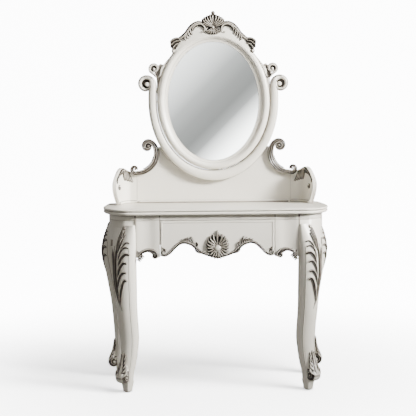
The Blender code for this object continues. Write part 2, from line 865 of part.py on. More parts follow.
def make_head_board(mats, parent):
    """Board round the top of the oval, sawn to the outline of the crest."""
    outer = crest_outline()
    inner = [ellipse(RING_A + GAP, RING_B + GAP, 22 + 68 * k / 16) for k in range(17)]
    outline = mirrored(outer)[:-1] + outer
    inner_all = inner[:-1] + [(-x, z) for x, z in reversed(inner)]
    bm = bmesh.new()
    front, back = -0.0130, 0.0080
    strip = []
    samples = 48
    for k in range(samples + 1):
        t = k / samples
        strip.append((walk(outline, t), walk(list(reversed(inner_all)), t)))
    rings = []
    for (xo, zo), (xi, zi) in strip:
        ring = []
        for x, z, y in ((xo, zo, front), (xo, zo, back), (xi, zi, back), (xi, zi, front)):
            ring.append((x, y, z - MIRROR_Z))
        rings.append(ring)
    loft(bm, rings)
    return finish("mirror_head_board", bm, mats["paint"], parent=parent)


def walk(points, t):
    """Point a share t of the way along a polyline."""
    lengths = [math.dist(a, b) for a, b in zip(points, points[1:])]
    left = t * sum(lengths)
    for (a, b), length in zip(zip(points, points[1:]), lengths):
        if left <= length:
            share = left / length
            return a[0] + (b[0] - a[0]) * share, a[1] + (b[1] - a[1]) * share
        left -= length
    return points[-1]


def hang_on_mirror(obj, parent):
    """Puts a piece modelled in place under the mirror's tilt pivot."""
    obj.parent = parent
    obj.matrix_parent_inverse = parent.matrix_world.inverted()
    return obj


def ring_clearance(side, mats):
    """Helper that rebates a carving where it lies over the moulded oval."""
    bm = bmesh.new()
    rings = []
    for y in (-0.0204, 0.0300):
        ring = []
        for k in range(56):
            angle = 2 * math.pi * k / 56
            ring.append(((RING_A + GAP) * math.cos(angle), y, (RING_B + GAP) * math.sin(angle)))
        rings.append(ring)
    loft(bm, rings)
    helper = finish(f"ring_clearance_{side}", bm, mats["paint"])
    helper.location = (0.0, MIRROR_Y, MIRROR_Z)
    bpy.context.view_layer.update()
    return helper


def make_crest_scroll(side, label, mats):
    """Shoulder of the crest: a broad arch with a C-scroll curling beneath it."""
    depths = (CREST_BACK_Y, CREST_BACK_Y - 0.0105)
    arch = smooth_path([(0.0520, 1.5500), (0.0700, 1.5510), (0.0880, 1.5420), (0.1040, 1.5270)], 3)
    arch += smooth_path([(0.1040, 1.5270), (0.1180, 1.5080), (0.1330, 1.4930), (0.1480, 1.4800)], 3)[1:]
    knots = ((0.0, 235, 0.0175), (0.35, 165, 0.0215), (0.65, 90, 0.0205), (1.0, 5, 0.0230))
    curl = coil((0.0640, 1.5220), knots, 12)
    widths = spread((0.0090, 0.0150, 0.0160, 0.0160, 0.0140, 0.0100), len(arch))
    band = make_band("crest_scroll_" + label, arch, widths, depths, mats["glaze"], side)
    widths = spread((0.0050, 0.0095, 0.0125, 0.0130, 0.0110, 0.0060), len(curl))
    depths = (CREST_BACK_Y, CREST_BACK_Y - 0.0120)
    helper = make_band("crest_curl_" + label, curl, widths, depths, mats["glaze"], side)
    join_solids(band, [helper])
    cut_solids(band, [ring_clearance(side, mats)])
    return smooth_by_angle(band, 32)


def make_crest_leaf(side, label, mats):
    """Tuft of three leaf tips that ends the crest over the shoulder of the oval."""
    depths = (CREST_BACK_Y, CREST_BACK_Y - 0.0100)
    strokes = []
    for k, tip in enumerate(((0.1880, 1.4640), (0.1850, 1.4480), (0.1770, 1.4270))):
        root = (0.1510, 1.4730 - 0.0090 * k)
        middle = ((root[0] + tip[0]) / 2 + 0.0020, (root[1] + tip[1]) / 2 - 0.0010)
        path = smooth_path([root, middle, tip], 3)
        widths = spread((0.0110, 0.0150, 0.0140, 0.0080), len(path))
        strokes.append(make_band(f"crest_leaf_{label}_{k}", path, widths, depths, mats["glaze"], side))
    leaf = strokes[0]
    leaf.name = "crest_leaf_" + label
    join_solids(leaf, strokes[1:])
    cut_solids(leaf, [ring_clearance(side, mats)])
    return smooth_by_angle(leaf, 32)


def make_ear(side, label, mats):
    """Small scroll that stands on the shoulder of the oval, above the yoke."""
    centre = (0.2600, 1.3500)
    knots = ((0.0, -60, 0.0185), (0.25, 10, 0.0180), (0.5, 90, 0.0175), (0.75, 180, 0.0165))
    knots += ((1.0, 290, 0.0100),)
    path = [(0.2480, 1.3215), (0.2580, 1.3265)] + coil(centre, knots, 14)
    widths = spread((0.0070, 0.0110, 0.0120, 0.0120, 0.0115, 0.0060), len(path))
    depths = (MIRROR_Y + 0.0070, MIRROR_Y - 0.0165)
    eyes = [((centre[0] - 0.0010, centre[1] - 0.0030), 0.0055)]
    return make_band("mirror_ear_" + label, path, widths, depths, mats["glaze"], side, eyes)


def make_crest_parts(side, label, mats, parent):
    for make in (make_crest_scroll, make_crest_leaf, make_ear):
        hang_on_mirror(make(side, label, mats), parent)


def yoke_line():
    """Right half of the yoke as (x, z, width): foot, arm, then the volute."""
    rows = []
    for k in range(18):
        degrees = -90 + 5 * k
        x, z = ellipse(0.2690, 0.3283, degrees)
        rows.append((x, z, 0.0465 - 0.0120 * math.cos(math.radians(degrees))))
    rows += [(0.2690, MIRROR_Z, 0.0345), (0.2688, 1.2320, 0.0345), (0.2680, 1.2540, 0.0320)]
    knots = ((0.0, 190, 0.0280), (0.25, 100, 0.0262), (0.5, 0, 0.0272), (0.68, -85, 0.0280))
    knots += ((0.82, -150, 0.0200), (1.0, -245, 0.0120))
    turns = coil(VOLUTE, knots, 22)
    widths = spread((0.0290, 0.0215, 0.0190, 0.0175, 0.0155, 0.0115, 0.0070), len(turns))
    return rows + [(x, z, width) for (x, z), width in zip(turns, widths)]


def make_yoke(mats):
    """U-shaped yoke: an oval band whose arms roll outwards into volutes."""
    line = yoke_line()
    right = [(x, z) for x, z, _ in line]
    widths = [width for _, _, width in line]
    both = mirrored(right)[:-1] + right
    wide = list(reversed(widths))[:-1] + widths
    bm = bmesh.new()
    ribbon(bm, both, wide, YOKE_Y[1], YOKE_Y[0], 0.25)
    yoke = finish("mirror_yoke", bm, mats["paint"])
    eyes = []
    for side in (-1, 1):
        label = f"yoke_eye_{side}"
        eyes.append(disc(label, VOLUTE, 0.0105, YOKE_Y[1], YOKE_Y[0], mats["paint"], side))
    join_solids(yoke, eyes)
    cut_solids(yoke, pin_holes("yoke_drill", (0.2450, 0.2650), mats, (0, MIRROR_Y, MIRROR_Z)))
    return smooth_by_angle(yoke, 32)


def turned(bm, profile, side, count=12):
    """Round solid along X from (x, radius) steps."""
    rings = []
    for x, radius in profile:
        ring = []
        for k in range(count):
            angle = 2 * math.pi * k / count
            ring.append((side * x, radius * math.cos(angle), radius * math.sin(angle)))
        rings.append(ring)
    loft(bm, rings)


def make_pivot(side, label, mats, parent):
    """Shouldered pin: fixed in the oval frame, turning in the yoke arm."""
    steps = ((0.2410, 0.0030), (0.2484, 0.0030), (0.2486, 0.0060), (0.2510, 0.0060))
    steps += ((0.2512, 0.0030), (0.2630, 0.0030), (0.2640, 0.0024))
    bm = bmesh.new()
    turned(bm, steps, side)
    pin = finish("pivot_pin_" + label, bm, mats["brass"], parent=parent)
    return smooth_by_angle(pin)


def pin_holes(name, x_range, mats, centre):
    """A pair of helper cylinders that drill the pin holes on both sides."""
    drills = []
    for side in (-1, 1):
        bm = bmesh.new()
        turned(bm, ((x_range[0], 0.0034), (x_range[1], 0.0034)), side)
        drill = finish(f"{name}_{side}", bm, mats["brass"])
        drill.location = centre
        drills.append(drill)
    bpy.context.view_layer.update()
    return drills


# ------------------------------------------------------------------- gallery


def scroll_path():
    """Centre line of the gallery scroll, from its upper to its lower volute."""
    knots = ((0.0, -195, 0.0095), (0.3, -120, 0.0140), (0.6, -20, 0.0195), (1.0, 125, 0.0205))
    upper = coil((0.2890, 1.0130), knots, 14)
    stem = [(0.2660, 1.0210), (0.2560, 1.0020), (0.2530, 0.9740), (0.2600, 0.9440)]
    stem += [(0.2790, 0.9180), (0.3080, 0.8990), (0.3400, 0.8930)]
    knots = ((0.0, -85, 0.0165), (0.5, 25, 0.0140), (1.0, 190, 0.0070))
    lower = coil((0.3470, 0.9095), knots, 10)
    return upper, smooth_path(stem, 3), lower


def make_gallery_scroll(side, label, mats):
    upper, stem, lower = scroll_path()
    path = upper[:-1] + stem + lower[1:]
    widths = spread((0.0065, 0.0100, 0.0130, 0.0170), len(upper) - 1)
    widths += spread((0.0190, 0.0200, 0.0200, 0.0170, 0.0140), len(stem))
    widths += spread((0.0125, 0.0105, 0.0065), len(lower) - 1)
    depths = (BOARD_Y[0] - GAP, BOARD_Y[0] - 0.0180)
    eyes = [((0.2880, 1.0130), 0.0070)]
    name = "gallery_scroll_" + label
    return make_band(name, path, widths, depths, mats["glaze"], side, eyes)


def make_gallery_board(mats):
    """Back board, sawn to the scrolls at its ends and open inside the yoke."""
    stem = scroll_path()[1]
    edge = [(0.3395, TOP_Z + GAP), (0.3395, 0.8760)]
    for x, z in reversed(stem[:-3]):
        ahead = 0.0088 if x > 0.256 else 0.0090
        edge.append((x - ahead, z - 0.0030 if x > 0.256 else z))
    edge = [point for point in edge if point[1] < 1.006]
    cut = [ellipse(0.2640, 0.3220, degrees) for degrees in range(-37, -91, -6)]
    cut[-1] = (0.0, cut[-1][1])
    right = edge + cut
    outline = right + mirrored(right)[1:]
    bm = bmesh.new()
    prism(bm, outline, BOARD_Y)
    return finish("gallery_board", bm, mats["paint"])


def wing_path(steps=11):
    """Plan line of a wing's inner face, sweeping forward from the back board."""
    points = [(0.3400, BOARD_Y[0])]
    for k in range(steps + 1):
        angle = math.radians(90.0 * k / steps)
        points.append((0.3660 + 0.0420 * math.sin(angle), 0.0700 + 0.1172 * math.cos(angle)))
    return points


def wing_top(t):
    """Height of a wing along its length: an arch, then a drop at the front end."""
    knots = ((0.0, 0.884), (0.25, 0.905), (0.50, 0.918), (0.75, 0.908), (0.92, 0.880), (1.0, 0.852))
    return table_curve(knots, t)[0]


def wing_bulge(height, t):
    """How far a wing swells outwards at a height, growing towards its front end."""
    return 0.018 * math.sin(math.pi * min(1.0, (height - TOP_Z) / 0.16)) * t**2


def make_wing(side, label, mats):
    inner = wing_path()
    last = len(inner) - 1
    thick = 0.0175
    rings = []
    for k, (x, y) in enumerate(inner):
        ahead, behind = Vector(inner[min(k + 1, last)]), Vector(inner[max(k - 1, 0)])
        direction = (ahead - behind).normalized()
        outward = Vector((-direction.y, direction.x))
        if outward.x < 0 or (k == 0 and outward.y < 0):
            outward = -outward
        top = wing_top(k / last)
        heights = (TOP_Z + GAP, 0.790, 0.842, top - 0.004, top)
        ring = [((x + wing_bulge(z, k / last)) * side, y, z) for z in heights]
        for z in reversed(heights):
            outer_x = x + outward.x * thick + wing_bulge(z, k / last)
            ring.append((outer_x * side, y + outward.y * thick, z))
        rings.append(ring)
    bm = bmesh.new()
    loft(bm, rings)
    return smooth_by_angle(finish("gallery_wing_" + label, bm, mats["paint"]), 30)


def make_foot_moulding(mats):
    """Small square fillet planted where the back board meets the top."""
    bm = bmesh.new()
    box(bm, (-0.3300, BOARD_Y[0] - 0.0070, TOP_Z + GAP), (0.3300, BOARD_Y[0] - GAP, 0.7720))
    return finish("gallery_foot_moulding", bm, mats["paint"])


def make_screw(name, spot, axis, parent, mats, radius=0.0040):
    """Domed screw head seen on the back of the mirror or the gallery."""
    bm = bmesh.new()
    rings = []
    for depth, size in ((0.0, 1.0), (0.0010, 1.0), (0.0022, 0.6)):
        ring = []
        for k in range(12):
            angle = 2 * math.pi * k / 12
            ring.append((radius * size * math.cos(angle), depth, radius * size * math.sin(angle)))
        rings.append(ring)
    loft(bm, rings)
    screw = finish(name, bm, mats["steel"], parent=parent)
    screw.location = spot
    screw.rotation_euler = (0.0, 0.0, axis)
    return smooth_by_angle(screw)


# ------------------------------------------------------------------ assembly


def pivot_empty():
    empty = bpy.data.objects.new("mirror_tilt_pivot", None)
    empty.location = (0.0, MIRROR_Y, MIRROR_Z)
    bpy.context.scene.collection.objects.link(empty)
    bpy.context.view_layer.update()
    return empty


def build_frame(mats):
    make_table_top(mats)
    make_legs(mats)
    make_top_rail(mats)
    make_apron_rear(mats)
    for side, label in ((-1, "left"), (1, "right")):
        make_apron_panel(side, label, mats)
        make_apron_end(side, label, mats)
        make_apron_scroll(side, label, mats)
        make_drawer_guides(side, label, mats)
        make_drawer_stop(side, label, mats)


def build_drawer(mats):
    make_drawer_front(mats)
    make_drawer_shell(mats)
    make_drawer_box(mats)
    for side, label in ((-1, "left"), (1, "right")):
        make_drawer_side(side, label, mats)
        make_drawer_scroll(side, label, mats)


def build_gallery(mats):
    make_gallery_board(mats)
    make_foot_moulding(mats)
    make_yoke(mats)
    for side, label in ((-1, "left"), (1, "right")):
        make_wing(side, label, mats)
        make_gallery_scroll(side, label, mats)
        spot = (side * 0.1500, BOARD_Y[1] + GAP, 0.9300)
        make_screw("yoke_screw_" + label, spot, 0.0, None, mats)


def build_mirror(mats):
    pivot = pivot_empty()
    make_mirror_frame(mats, pivot)
    oval_plate("mirror_glass", GLASS_A, GLASS_B, (-0.0016, 0.0024), mats["silver"], pivot)
    oval_plate("mirror_backing", GLASS_A, GLASS_B, (0.0028, 0.0068), mats["ply"], pivot)
    make_head_board(mats, pivot)
    hang_on_mirror(make_crest_shell(mats), pivot)
    for side, label in ((-1, "left"), (1, "right")):
        make_crest_parts(side, label, mats, pivot)
        make_pivot(side, label, mats, pivot)


def main():
    clear_scene()
    mats = make_materials()
    build_frame(mats)
    build_drawer(mats)
    build_gallery(mats)
    build_mirror(mats)


main()
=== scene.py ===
import math

import bmesh
import bpy
import numpy as np
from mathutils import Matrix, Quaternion, Vector


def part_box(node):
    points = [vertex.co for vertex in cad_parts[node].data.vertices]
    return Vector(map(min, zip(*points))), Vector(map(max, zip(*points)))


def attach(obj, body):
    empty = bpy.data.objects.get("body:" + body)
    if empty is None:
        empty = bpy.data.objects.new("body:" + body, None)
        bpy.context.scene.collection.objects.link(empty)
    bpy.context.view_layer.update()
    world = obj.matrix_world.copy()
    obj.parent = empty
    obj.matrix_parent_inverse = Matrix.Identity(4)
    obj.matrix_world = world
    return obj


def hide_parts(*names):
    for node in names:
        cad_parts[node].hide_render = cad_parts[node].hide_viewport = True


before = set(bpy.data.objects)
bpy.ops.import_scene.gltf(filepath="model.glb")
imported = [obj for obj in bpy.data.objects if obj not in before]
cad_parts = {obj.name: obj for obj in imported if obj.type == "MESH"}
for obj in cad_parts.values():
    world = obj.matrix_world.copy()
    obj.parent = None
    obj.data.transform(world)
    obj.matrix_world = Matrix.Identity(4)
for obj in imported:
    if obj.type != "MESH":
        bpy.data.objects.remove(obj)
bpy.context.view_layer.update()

# Sizes the CAD pieces were made to, in metres.
TOP_Z = 0.76
TOP_HALF, TOP_BACK = 0.478, 0.215
CORNER_X, CORNER_Y, CORNER_DEPTH = 0.34, 0.02, 0.235
BACK_RADIUS = 0.018
OVERHANG = 0.024
POST_TOP = 0.7346
FACE_Y, FACE_BACK_Y = -0.193, -0.173
DRAWER_HALF, DRAWER_TOP = 0.235, 0.713
PANEL_END = 0.33
SHAFT_FOOT, SHAFT_TOP, TOE_Z = 0.036, 0.695, 0.066
MIRROR_Y, MIRROR_Z = 0.168, 1.208
CREST_Y = MIRROR_Y - 0.0132
RING_A, RING_B = 0.248, 0.302
YOKE_Y = (0.1535, 0.1865)
BOARD_Y = (0.1872, 0.205)
VOLUTE = (0.295, 1.288)
SIDES = ((-1, "left"), (1, "right"))


# ------------------------------------------------------------------ materials


def new_material(name):
    """A node material, with its nodes, its links and its Principled shader."""
    mat = bpy.data.materials.new(name)
    mat.use_nodes = True
    nodes, links = mat.node_tree.nodes, mat.node_tree.links
    return mat, nodes, links, nodes["Principled BSDF"]


def noise(nodes, links, scale, detail, stretch=None):
    """Noise in object coordinates, drawn out along the axes where stretch is small."""
    coords = nodes.new("ShaderNodeTexCoord")
    texture = nodes.new("ShaderNodeTexNoise")
    texture.inputs["Scale"].default_value = scale
    texture.inputs["Detail"].default_value = detail
    if stretch:
        mapping = nodes.new("ShaderNodeMapping")
        mapping.inputs["Scale"].default_value = stretch
        links.new(coords.outputs["Object"], mapping.inputs["Vector"])
        links.new(mapping.outputs["Vector"], texture.inputs["Vector"])
    else:
        links.new(coords.outputs["Object"], texture.inputs["Vector"])
    return texture


def ramp(nodes, stops):
    """Colour ramp from (position, colour) stops."""
    node = nodes.new("ShaderNodeValToRGB")
    elements = node.color_ramp.elements
    while len(elements) < len(stops):
        elements.new(0.5)
    for element, (position, color) in zip(elements, stops):
        element.position = position
        element.color = (*color, 1.0)
    return node


def tint(nodes, links, shader, texture, stops):
    """Base colour from a texture, through a colour ramp."""
    color = ramp(nodes, stops)
    links.new(texture.outputs["Fac"], color.inputs["Fac"])
    links.new(color.outputs["Color"], shader.inputs["Base Color"])


def add_bump(nodes, links, shader, texture, strength, distance):
    """Fine relief on a shader, from a texture."""
    bump = nodes.new("ShaderNodeBump")
    bump.inputs["Strength"].default_value = strength
    bump.inputs["Distance"].default_value = distance
    links.new(texture.outputs["Fac"], bump.inputs["Height"])
    links.new(bump.outputs["Normal"], shader.inputs["Normal"])


# Colours of glaze and painted shade, from a filled recess and the deepest painted shade to bare ivory
# paint.
GLAZE_AND_SHADE_STOPS = (
    (0.0, (0.02, 0.016, 0.012)),
    (0.22, (0.06, 0.049, 0.038)),
    (0.5, (0.185, 0.163, 0.136)),
    (0.75, (0.44, 0.405, 0.35)),
    (1.0, (0.8, 0.768, 0.69)),
)


def paint_material():
    """Ivory paint under a wiped silver-grey glaze: a tone of 1 is bare paint, 0 a filled recess; lower
    tones also carry painted shade in gaps and joints, under the top and where the feet meet the floor.
    """
    mat, nodes, links, shader = new_material("ivory_glaze_and_painted_shade")
    tone = nodes.new("ShaderNodeAttribute")
    tone.attribute_name = "tone"
    cloud = noise(nodes, links, 70.0, 5.0)
    spread = nodes.new("ShaderNodeMapRange")
    spread.inputs["To Min"].default_value = -0.16
    spread.inputs["To Max"].default_value = 0.16
    links.new(cloud.outputs["Fac"], spread.inputs["Value"])
    inverse = nodes.new("ShaderNodeMath")
    inverse.operation = "SUBTRACT"
    inverse.inputs[0].default_value = 1.0
    links.new(tone.outputs["Fac"], inverse.inputs[1])
    wiped = nodes.new("ShaderNodeMath")
    wiped.operation = "MULTIPLY_ADD"
    links.new(spread.outputs["Result"], wiped.inputs[0])
    limit = nodes.new("ShaderNodeMath")
    limit.operation = "MINIMUM"
    limit.inputs[1].default_value = 0.6
    links.new(inverse.outputs["Value"], limit.inputs[0])
    links.new(limit.outputs["Value"], wiped.inputs[1])
    links.new(tone.outputs["Fac"], wiped.inputs[2])
    # The same ramp colours glaze and painted shade.
    glaze = ramp(nodes, GLAZE_AND_SHADE_STOPS)
    links.new(wiped.outputs["Value"], glaze.inputs["Fac"])
    patina = noise(nodes, links, 6.0, 6.0)
    warm = ramp(nodes, ((0.3, (0.955, 0.945, 0.925)), (0.7, (1.0, 1.0, 1.0))))
    links.new(patina.outputs["Fac"], warm.inputs["Fac"])
    mixed = nodes.new("ShaderNodeMix")
    mixed.data_type = "RGBA"
    mixed.blend_type = "MULTIPLY"
    mixed.inputs["Factor"].default_value = 1.0
    links.new(glaze.outputs["Color"], mixed.inputs["A"])
    links.new(warm.outputs["Color"], mixed.inputs["B"])
    links.new(mixed.outputs["Result"], shader.inputs["Base Color"])
    rough = ramp(nodes, ((0.35, (0.34, 0.34, 0.34)), (0.7, (0.44, 0.44, 0.44))))
    links.new(cloud.outputs["Fac"], rough.inputs["Fac"])
    links.new(rough.outputs["Color"], shader.inputs["Roughness"])
    shader.inputs["Coat Weight"].default_value = 0.25
    shader.inputs["Coat Roughness"].default_value = 0.22
    brushed = noise(nodes, links, 240.0, 3.0)
    add_bump(nodes, links, shader, brushed, 0.18, 0.0004)
    return mat


def wood_material(name, pale, dark, stretch):
    """Clear-sealed timber with grain along the axis where stretch is smallest."""
    mat, nodes, links, shader = new_material(name)
    grain = noise(nodes, links, 14.0, 8.0, stretch)
    tint(nodes, links, shader, grain, ((0.32, dark), (0.5, pale), (0.68, tuple(c * 0.86 for c in pale))))
    shader.inputs["Roughness"].default_value = 0.55
    add_bump(nodes, links, shader, grain, 0.25, 0.0006)
    return mat


def metal_material(name, color, roughness):
    """Metal with slightly darker patches."""
    mat, nodes, links, shader = new_material(name)
    wear = noise(nodes, links, 160.0, 3.0)
    tint(nodes, links, shader, wear, ((0.3, tuple(c * 0.82 for c in color)), (0.7, color)))
    shader.inputs["Metallic"].default_value = 1.0
    shader.inputs["Roughness"].default_value = roughness
    add_bump(nodes, links, shader, wear, 0.1, 0.0002)
    return mat


def mirror_material():
    """Silvering with a faint haze."""
    mat, nodes, links, shader = new_material("silvered_glass")
    haze = noise(nodes, links, 3.0, 2.0)
    tint(nodes, links, shader, haze, ((0.35, (0.885, 0.9, 0.895)), (0.65, (0.915, 0.925, 0.92))))
    shader.inputs["Metallic"].default_value = 1.0
    shader.inputs["Roughness"].default_value = 0.015
    return mat


def nylon_material():
    """Off-white moulded plastic of the glides."""
    mat, nodes, links, shader = new_material("moulded_nylon")
    cloud = noise(nodes, links, 90.0, 3.0)
    tint(nodes, links, shader, cloud, ((0.3, (0.7, 0.69, 0.66)), (0.7, (0.8, 0.79, 0.76))))
    shader.inputs["Roughness"].default_value = 0.5
    add_bump(nodes, links, shader, cloud, 0.1, 0.0002)
    return mat


PAINT = paint_material()
MIRROR = mirror_material()
BEECH_X = wood_material("beech_across", (0.6, 0.44, 0.28), (0.4, 0.27, 0.16), (0.6, 9.0, 9.0))
BEECH_Y = wood_material("beech_along", (0.6, 0.44, 0.28), (0.4, 0.27, 0.16), (9.0, 0.6, 9.0))
PLY = wood_material("birch_plywood", (0.62, 0.5, 0.35), (0.48, 0.37, 0.24), (0.8, 8.0, 8.0))
BRASS = metal_material("turned_brass", (0.72, 0.56, 0.3), 0.32)
ZINC = metal_material("zinc_steel", (0.62, 0.62, 0.62), 0.38)
NYLON = nylon_material()


# -------------------------------------------------------------- piece builder


class Piece:
    """Collects closed shells with a tone at each point, for glaze and for painted shade, then makes one
    object.
    """

    def __init__(self):
        self.points, self.tones, self.faces, self.count = [], [], [], 0

    def grid(self, points, tones, wrap_rows=False):
        """Skin over rows that close on themselves; the ends are capped, or joined if rows wrap."""
        points = np.asarray(points, float)
        rows, columns = points.shape[:2]
        tones = np.broadcast_to(np.asarray(tones, float), (rows, columns))
        base = self.count
        index = base + np.arange(rows * columns).reshape(rows, columns)
        nxt = np.roll(index, -1, axis=1)
        quads = np.stack([index, nxt, np.roll(nxt, -1, axis=0), np.roll(index, -1, axis=0)], -1)
        if not wrap_rows:
            quads = quads[:-1]
        self.faces += quads.reshape(-1, 4).tolist()
        if not wrap_rows:
            self.faces.append(index[0][::-1].tolist())
            self.faces.append(index[-1].tolist())
        self.points.append(points.reshape(-1, 3))
        self.tones.append(tones.reshape(-1))
        self.count += rows * columns

    def build(self, name, body, nodes=(), mat=None, sharp=40.0, slot="ivory_paint", flip=False,
              wiped=1.4):
        """Makes the object; wiped says how far glaze is left on a carving (more is darker)."""
        points = np.concatenate(self.points)
        if flip:
            points = points * (-1, 1, 1)
        mesh = bpy.data.meshes.new(name)
        mesh.from_pydata(points.tolist(), [], self.faces)
        tone = mesh.attributes.new("tone", "FLOAT", "POINT")
        tones = np.concatenate(self.tones)
        if slot == "glazed_carving":
            tones = 0.93 * np.clip(tones, 0, 1) ** wiped
        tone.data.foreach_set("value", tones.astype(np.float32))
        mesh.materials.append(mat or PAINT)
        obj = bpy.data.objects.new(name, mesh)
        bpy.context.scene.collection.objects.link(obj)
        face_out(mesh)
        mesh.shade_smooth()
        mesh.set_sharp_from_angle(angle=math.radians(sharp))
        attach(obj, body)
        if nodes:
            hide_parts(*nodes)
        return obj


def build_pair(piece, name, body, node=None, **look):
    """Builds a right-hand piece, and its mirror image on the left."""
    for side, label in SIDES:
        nodes = [f"{node}_{label}"] if node else ()
        piece.build(f"{name}_{label}", body, nodes, flip=side < 0, **look)


def face_out(mesh):
    """Turns every closed shell so that its faces point outwards."""
    bm = bmesh.new()
    bm.from_mesh(mesh)
    bmesh.ops.recalc_face_normals(bm, faces=bm.faces)
    bm.to_mesh(mesh)
    bm.free()


# ------------------------------------------------------------------- 2-D paths


def curve(points, count):
    """Catmull-Rom curve through the points, at even spacing."""
    points = np.asarray(points, float)
    ends = np.vstack([2 * points[0] - points[1], points, 2 * points[-1] - points[-2]])
    dense = []
    for k in range(len(points) - 1):
        t = np.linspace(0, 1, 24, endpoint=False)[:, None]
        a, b, c, d = ends[k : k + 4]
        dense.append(0.5 * (2 * b + (c - a) * t + (2 * a - 5 * b + 4 * c - d) * t**2
                            + (3 * b - a - 3 * c + d) * t**3))
    dense.append(points[-1:])
    return resample(np.vstack(dense), count)


def resample(points, count):
    """The same path with its points at even spacing."""
    points = np.asarray(points, float)
    steps = np.r_[0, np.cumsum(np.linalg.norm(np.diff(points, axis=0), axis=1))]
    at = np.linspace(0, steps[-1], count)
    return np.stack([np.interp(at, steps, points[:, i]) for i in range(points.shape[1])], -1)


def polar(centre, radius, angle):
    """Points at a radius and an angle round a centre."""
    return np.stack([centre[0] + radius * np.cos(angle), centre[1] + radius * np.sin(angle)], -1)


def spiral(centre, start, turn, first, last, count):
    """Spiral from a start angle through a turn, both in degrees, from the first radius to the last."""
    t = np.linspace(0, 1, count)
    return polar(centre, first + (last - first) * t**0.8, np.radians(start + turn * t))


def coil(centre, knots, count):
    """Spiral through knots of (share of the way, degrees, radius)."""
    fine = curve(knots, 300)
    t = np.linspace(0, 1, count)
    angle = np.radians(np.interp(t, fine[:, 0], fine[:, 1]))
    return polar(centre, np.interp(t, fine[:, 0], fine[:, 2]), angle)


def comma(head, tail):
    """Path of a leaf lobe: starts at a blunt head, swells over, and falls away to its tail."""
    head, tail = np.asarray(head, float), np.asarray(tail, float)
    run = tail - head
    lift = np.array([0.0, 0.16 * np.linalg.norm(run)])
    shares = ((0.0, 0.0, -0.25), (0.1, 0.0, 0.1), (0.34, 0.1, 0.62), (0.66, 0.4, 0.8),
              (0.88, 0.7, 0.45), (1.0, 1.0, 0.0))
    return curve([head + run * (a, b) + lift * c for a, b, c in shares], 34)


def joined(*parts):
    """One path through several, dropping doubled joints."""
    path = [parts[0]]
    for part in parts[1:]:
        path.append(np.asarray(part)[1:])
    return np.vstack(path)


def spaced(values, count):
    """A short list of values spread evenly over count points."""
    return np.interp(np.linspace(0, 1, count), np.linspace(0, 1, len(values)), values)


def mirrored_x(points):
    """Mirror image of a plane path, run the other way."""
    return points[::-1] * (-1, 1)


def left_of(path):
    """Unit vectors to the left of a path's direction at each point."""
    along = np.gradient(path, axis=0)
    along /= np.linalg.norm(along, axis=1)[:, None] + 1e-12
    return np.stack([-along[:, 1], along[:, 0]], -1)


def on_plane(y):
    """Chart of a flat face: (x, z) with relief standing out towards the front."""

    def place(u, v, h):
        return np.stack([u, y - h, v], -1)

    return place


# Cross-sections of carved bands: offset from -1 to 1, height from 0 to 1, tone.
ROUND = ((-1.0, 0.0, 0.05), (-0.94, 0.35, 0.15), (-0.75, 0.68, 0.5), (-0.42, 0.93, 0.85),
         (0.0, 1.0, 0.95), (0.42, 0.93, 0.85), (0.75, 0.68, 0.5), (0.94, 0.35, 0.15), (1.0, 0.0, 0.05))
FLUTE = ((-1.0, 0.0, 0.03), (-0.97, 0.42, 0.08), (-0.89, 0.8, 0.42), (-0.76, 1.0, 0.9),
         (-0.6, 0.93, 0.8), (-0.46, 0.66, 0.34), (-0.32, 0.46, 0.05), (-0.14, 0.44, 0.03),
         (0.02, 0.58, 0.22), (0.2, 0.82, 0.66), (0.42, 0.97, 0.9), (0.62, 0.94, 0.8), (0.8, 0.72, 0.42),
         (0.94, 0.38, 0.1), (1.0, 0.0, 0.03))
EDGE = ((-1.0, 0.0, 0.03), (-0.95, 0.5, 0.04), (-0.76, 0.76, 0.12), (-0.56, 0.84, 0.42),
        (-0.38, 0.76, 0.6), (-0.22, 0.56, 0.14), (-0.06, 0.52, 0.06), (0.08, 0.7, 0.3),
        (0.26, 0.92, 0.86), (0.5, 1.0, 0.98), (0.72, 0.9, 0.8), (0.9, 0.52, 0.28), (1.0, 0.0, 0.06))
LOBE = ((-1.0, 0.0, 0.04), (-0.95, 0.5, 0.14), (-0.84, 0.86, 0.6), (-0.66, 1.0, 0.98),
        (-0.46, 0.92, 0.8), (-0.28, 0.68, 0.3), (-0.06, 0.46, 0.06), (0.22, 0.36, 0.02),
        (0.52, 0.34, 0.04), (0.76, 0.4, 0.2), (0.9, 0.44, 0.4), (1.0, 0.0, 0.06))
PETAL = ((-1.0, 0.0, 0.02), (-0.9, 0.46, 0.1), (-0.66, 0.86, 0.62), (-0.3, 1.0, 0.95),
         (0.05, 0.92, 0.72), (0.35, 0.68, 0.3), (0.65, 0.44, 0.08), (0.88, 0.28, 0.03), (1.0, 0.0, 0.02))
VEIN = ((-1.0, 0.0, 0.05), (-0.8, 0.5, 0.16), (-0.4, 0.86, 0.42), (0.0, 1.0, 0.62), (0.4, 0.86, 0.42),
        (0.8, 0.5, 0.16), (1.0, 0.0, 0.05))
TRIPLE = ((-1.0, 0.0, 0.03), (-0.97, 0.45, 0.06), (-0.9, 0.82, 0.5), (-0.78, 0.96, 0.88),
          (-0.64, 0.86, 0.55), (-0.54, 0.6, 0.06), (-0.44, 0.6, 0.06), (-0.3, 0.88, 0.62),
          (-0.1, 1.0, 0.85), (0.08, 0.92, 0.62), (0.22, 0.62, 0.08), (0.34, 0.58, 0.05),
          (0.46, 0.84, 0.6), (0.64, 0.98, 0.98), (0.82, 0.88, 0.8), (0.95, 0.45, 0.1), (1.0, 0.0, 0.03))
GROUND = ((-1.0, 0.0, 0.55), (-0.82, 0.5, 0.12), (-0.4, 1.0, 0.05), (0.4, 1.0, 0.05), (0.82, 0.5, 0.12),
          (1.0, 0.0, 0.55))
# Tone of the hidden backs of carvings: almost bare paint.
BACK_TONE = 0.95


def deep(section):
    """The same section with upright sides, for scrollwork cut from thick stock."""
    return tuple((offset, 0.62 + 0.38 * height if 0 < height else 0.0, tone)
                 for offset, height, tone in section)


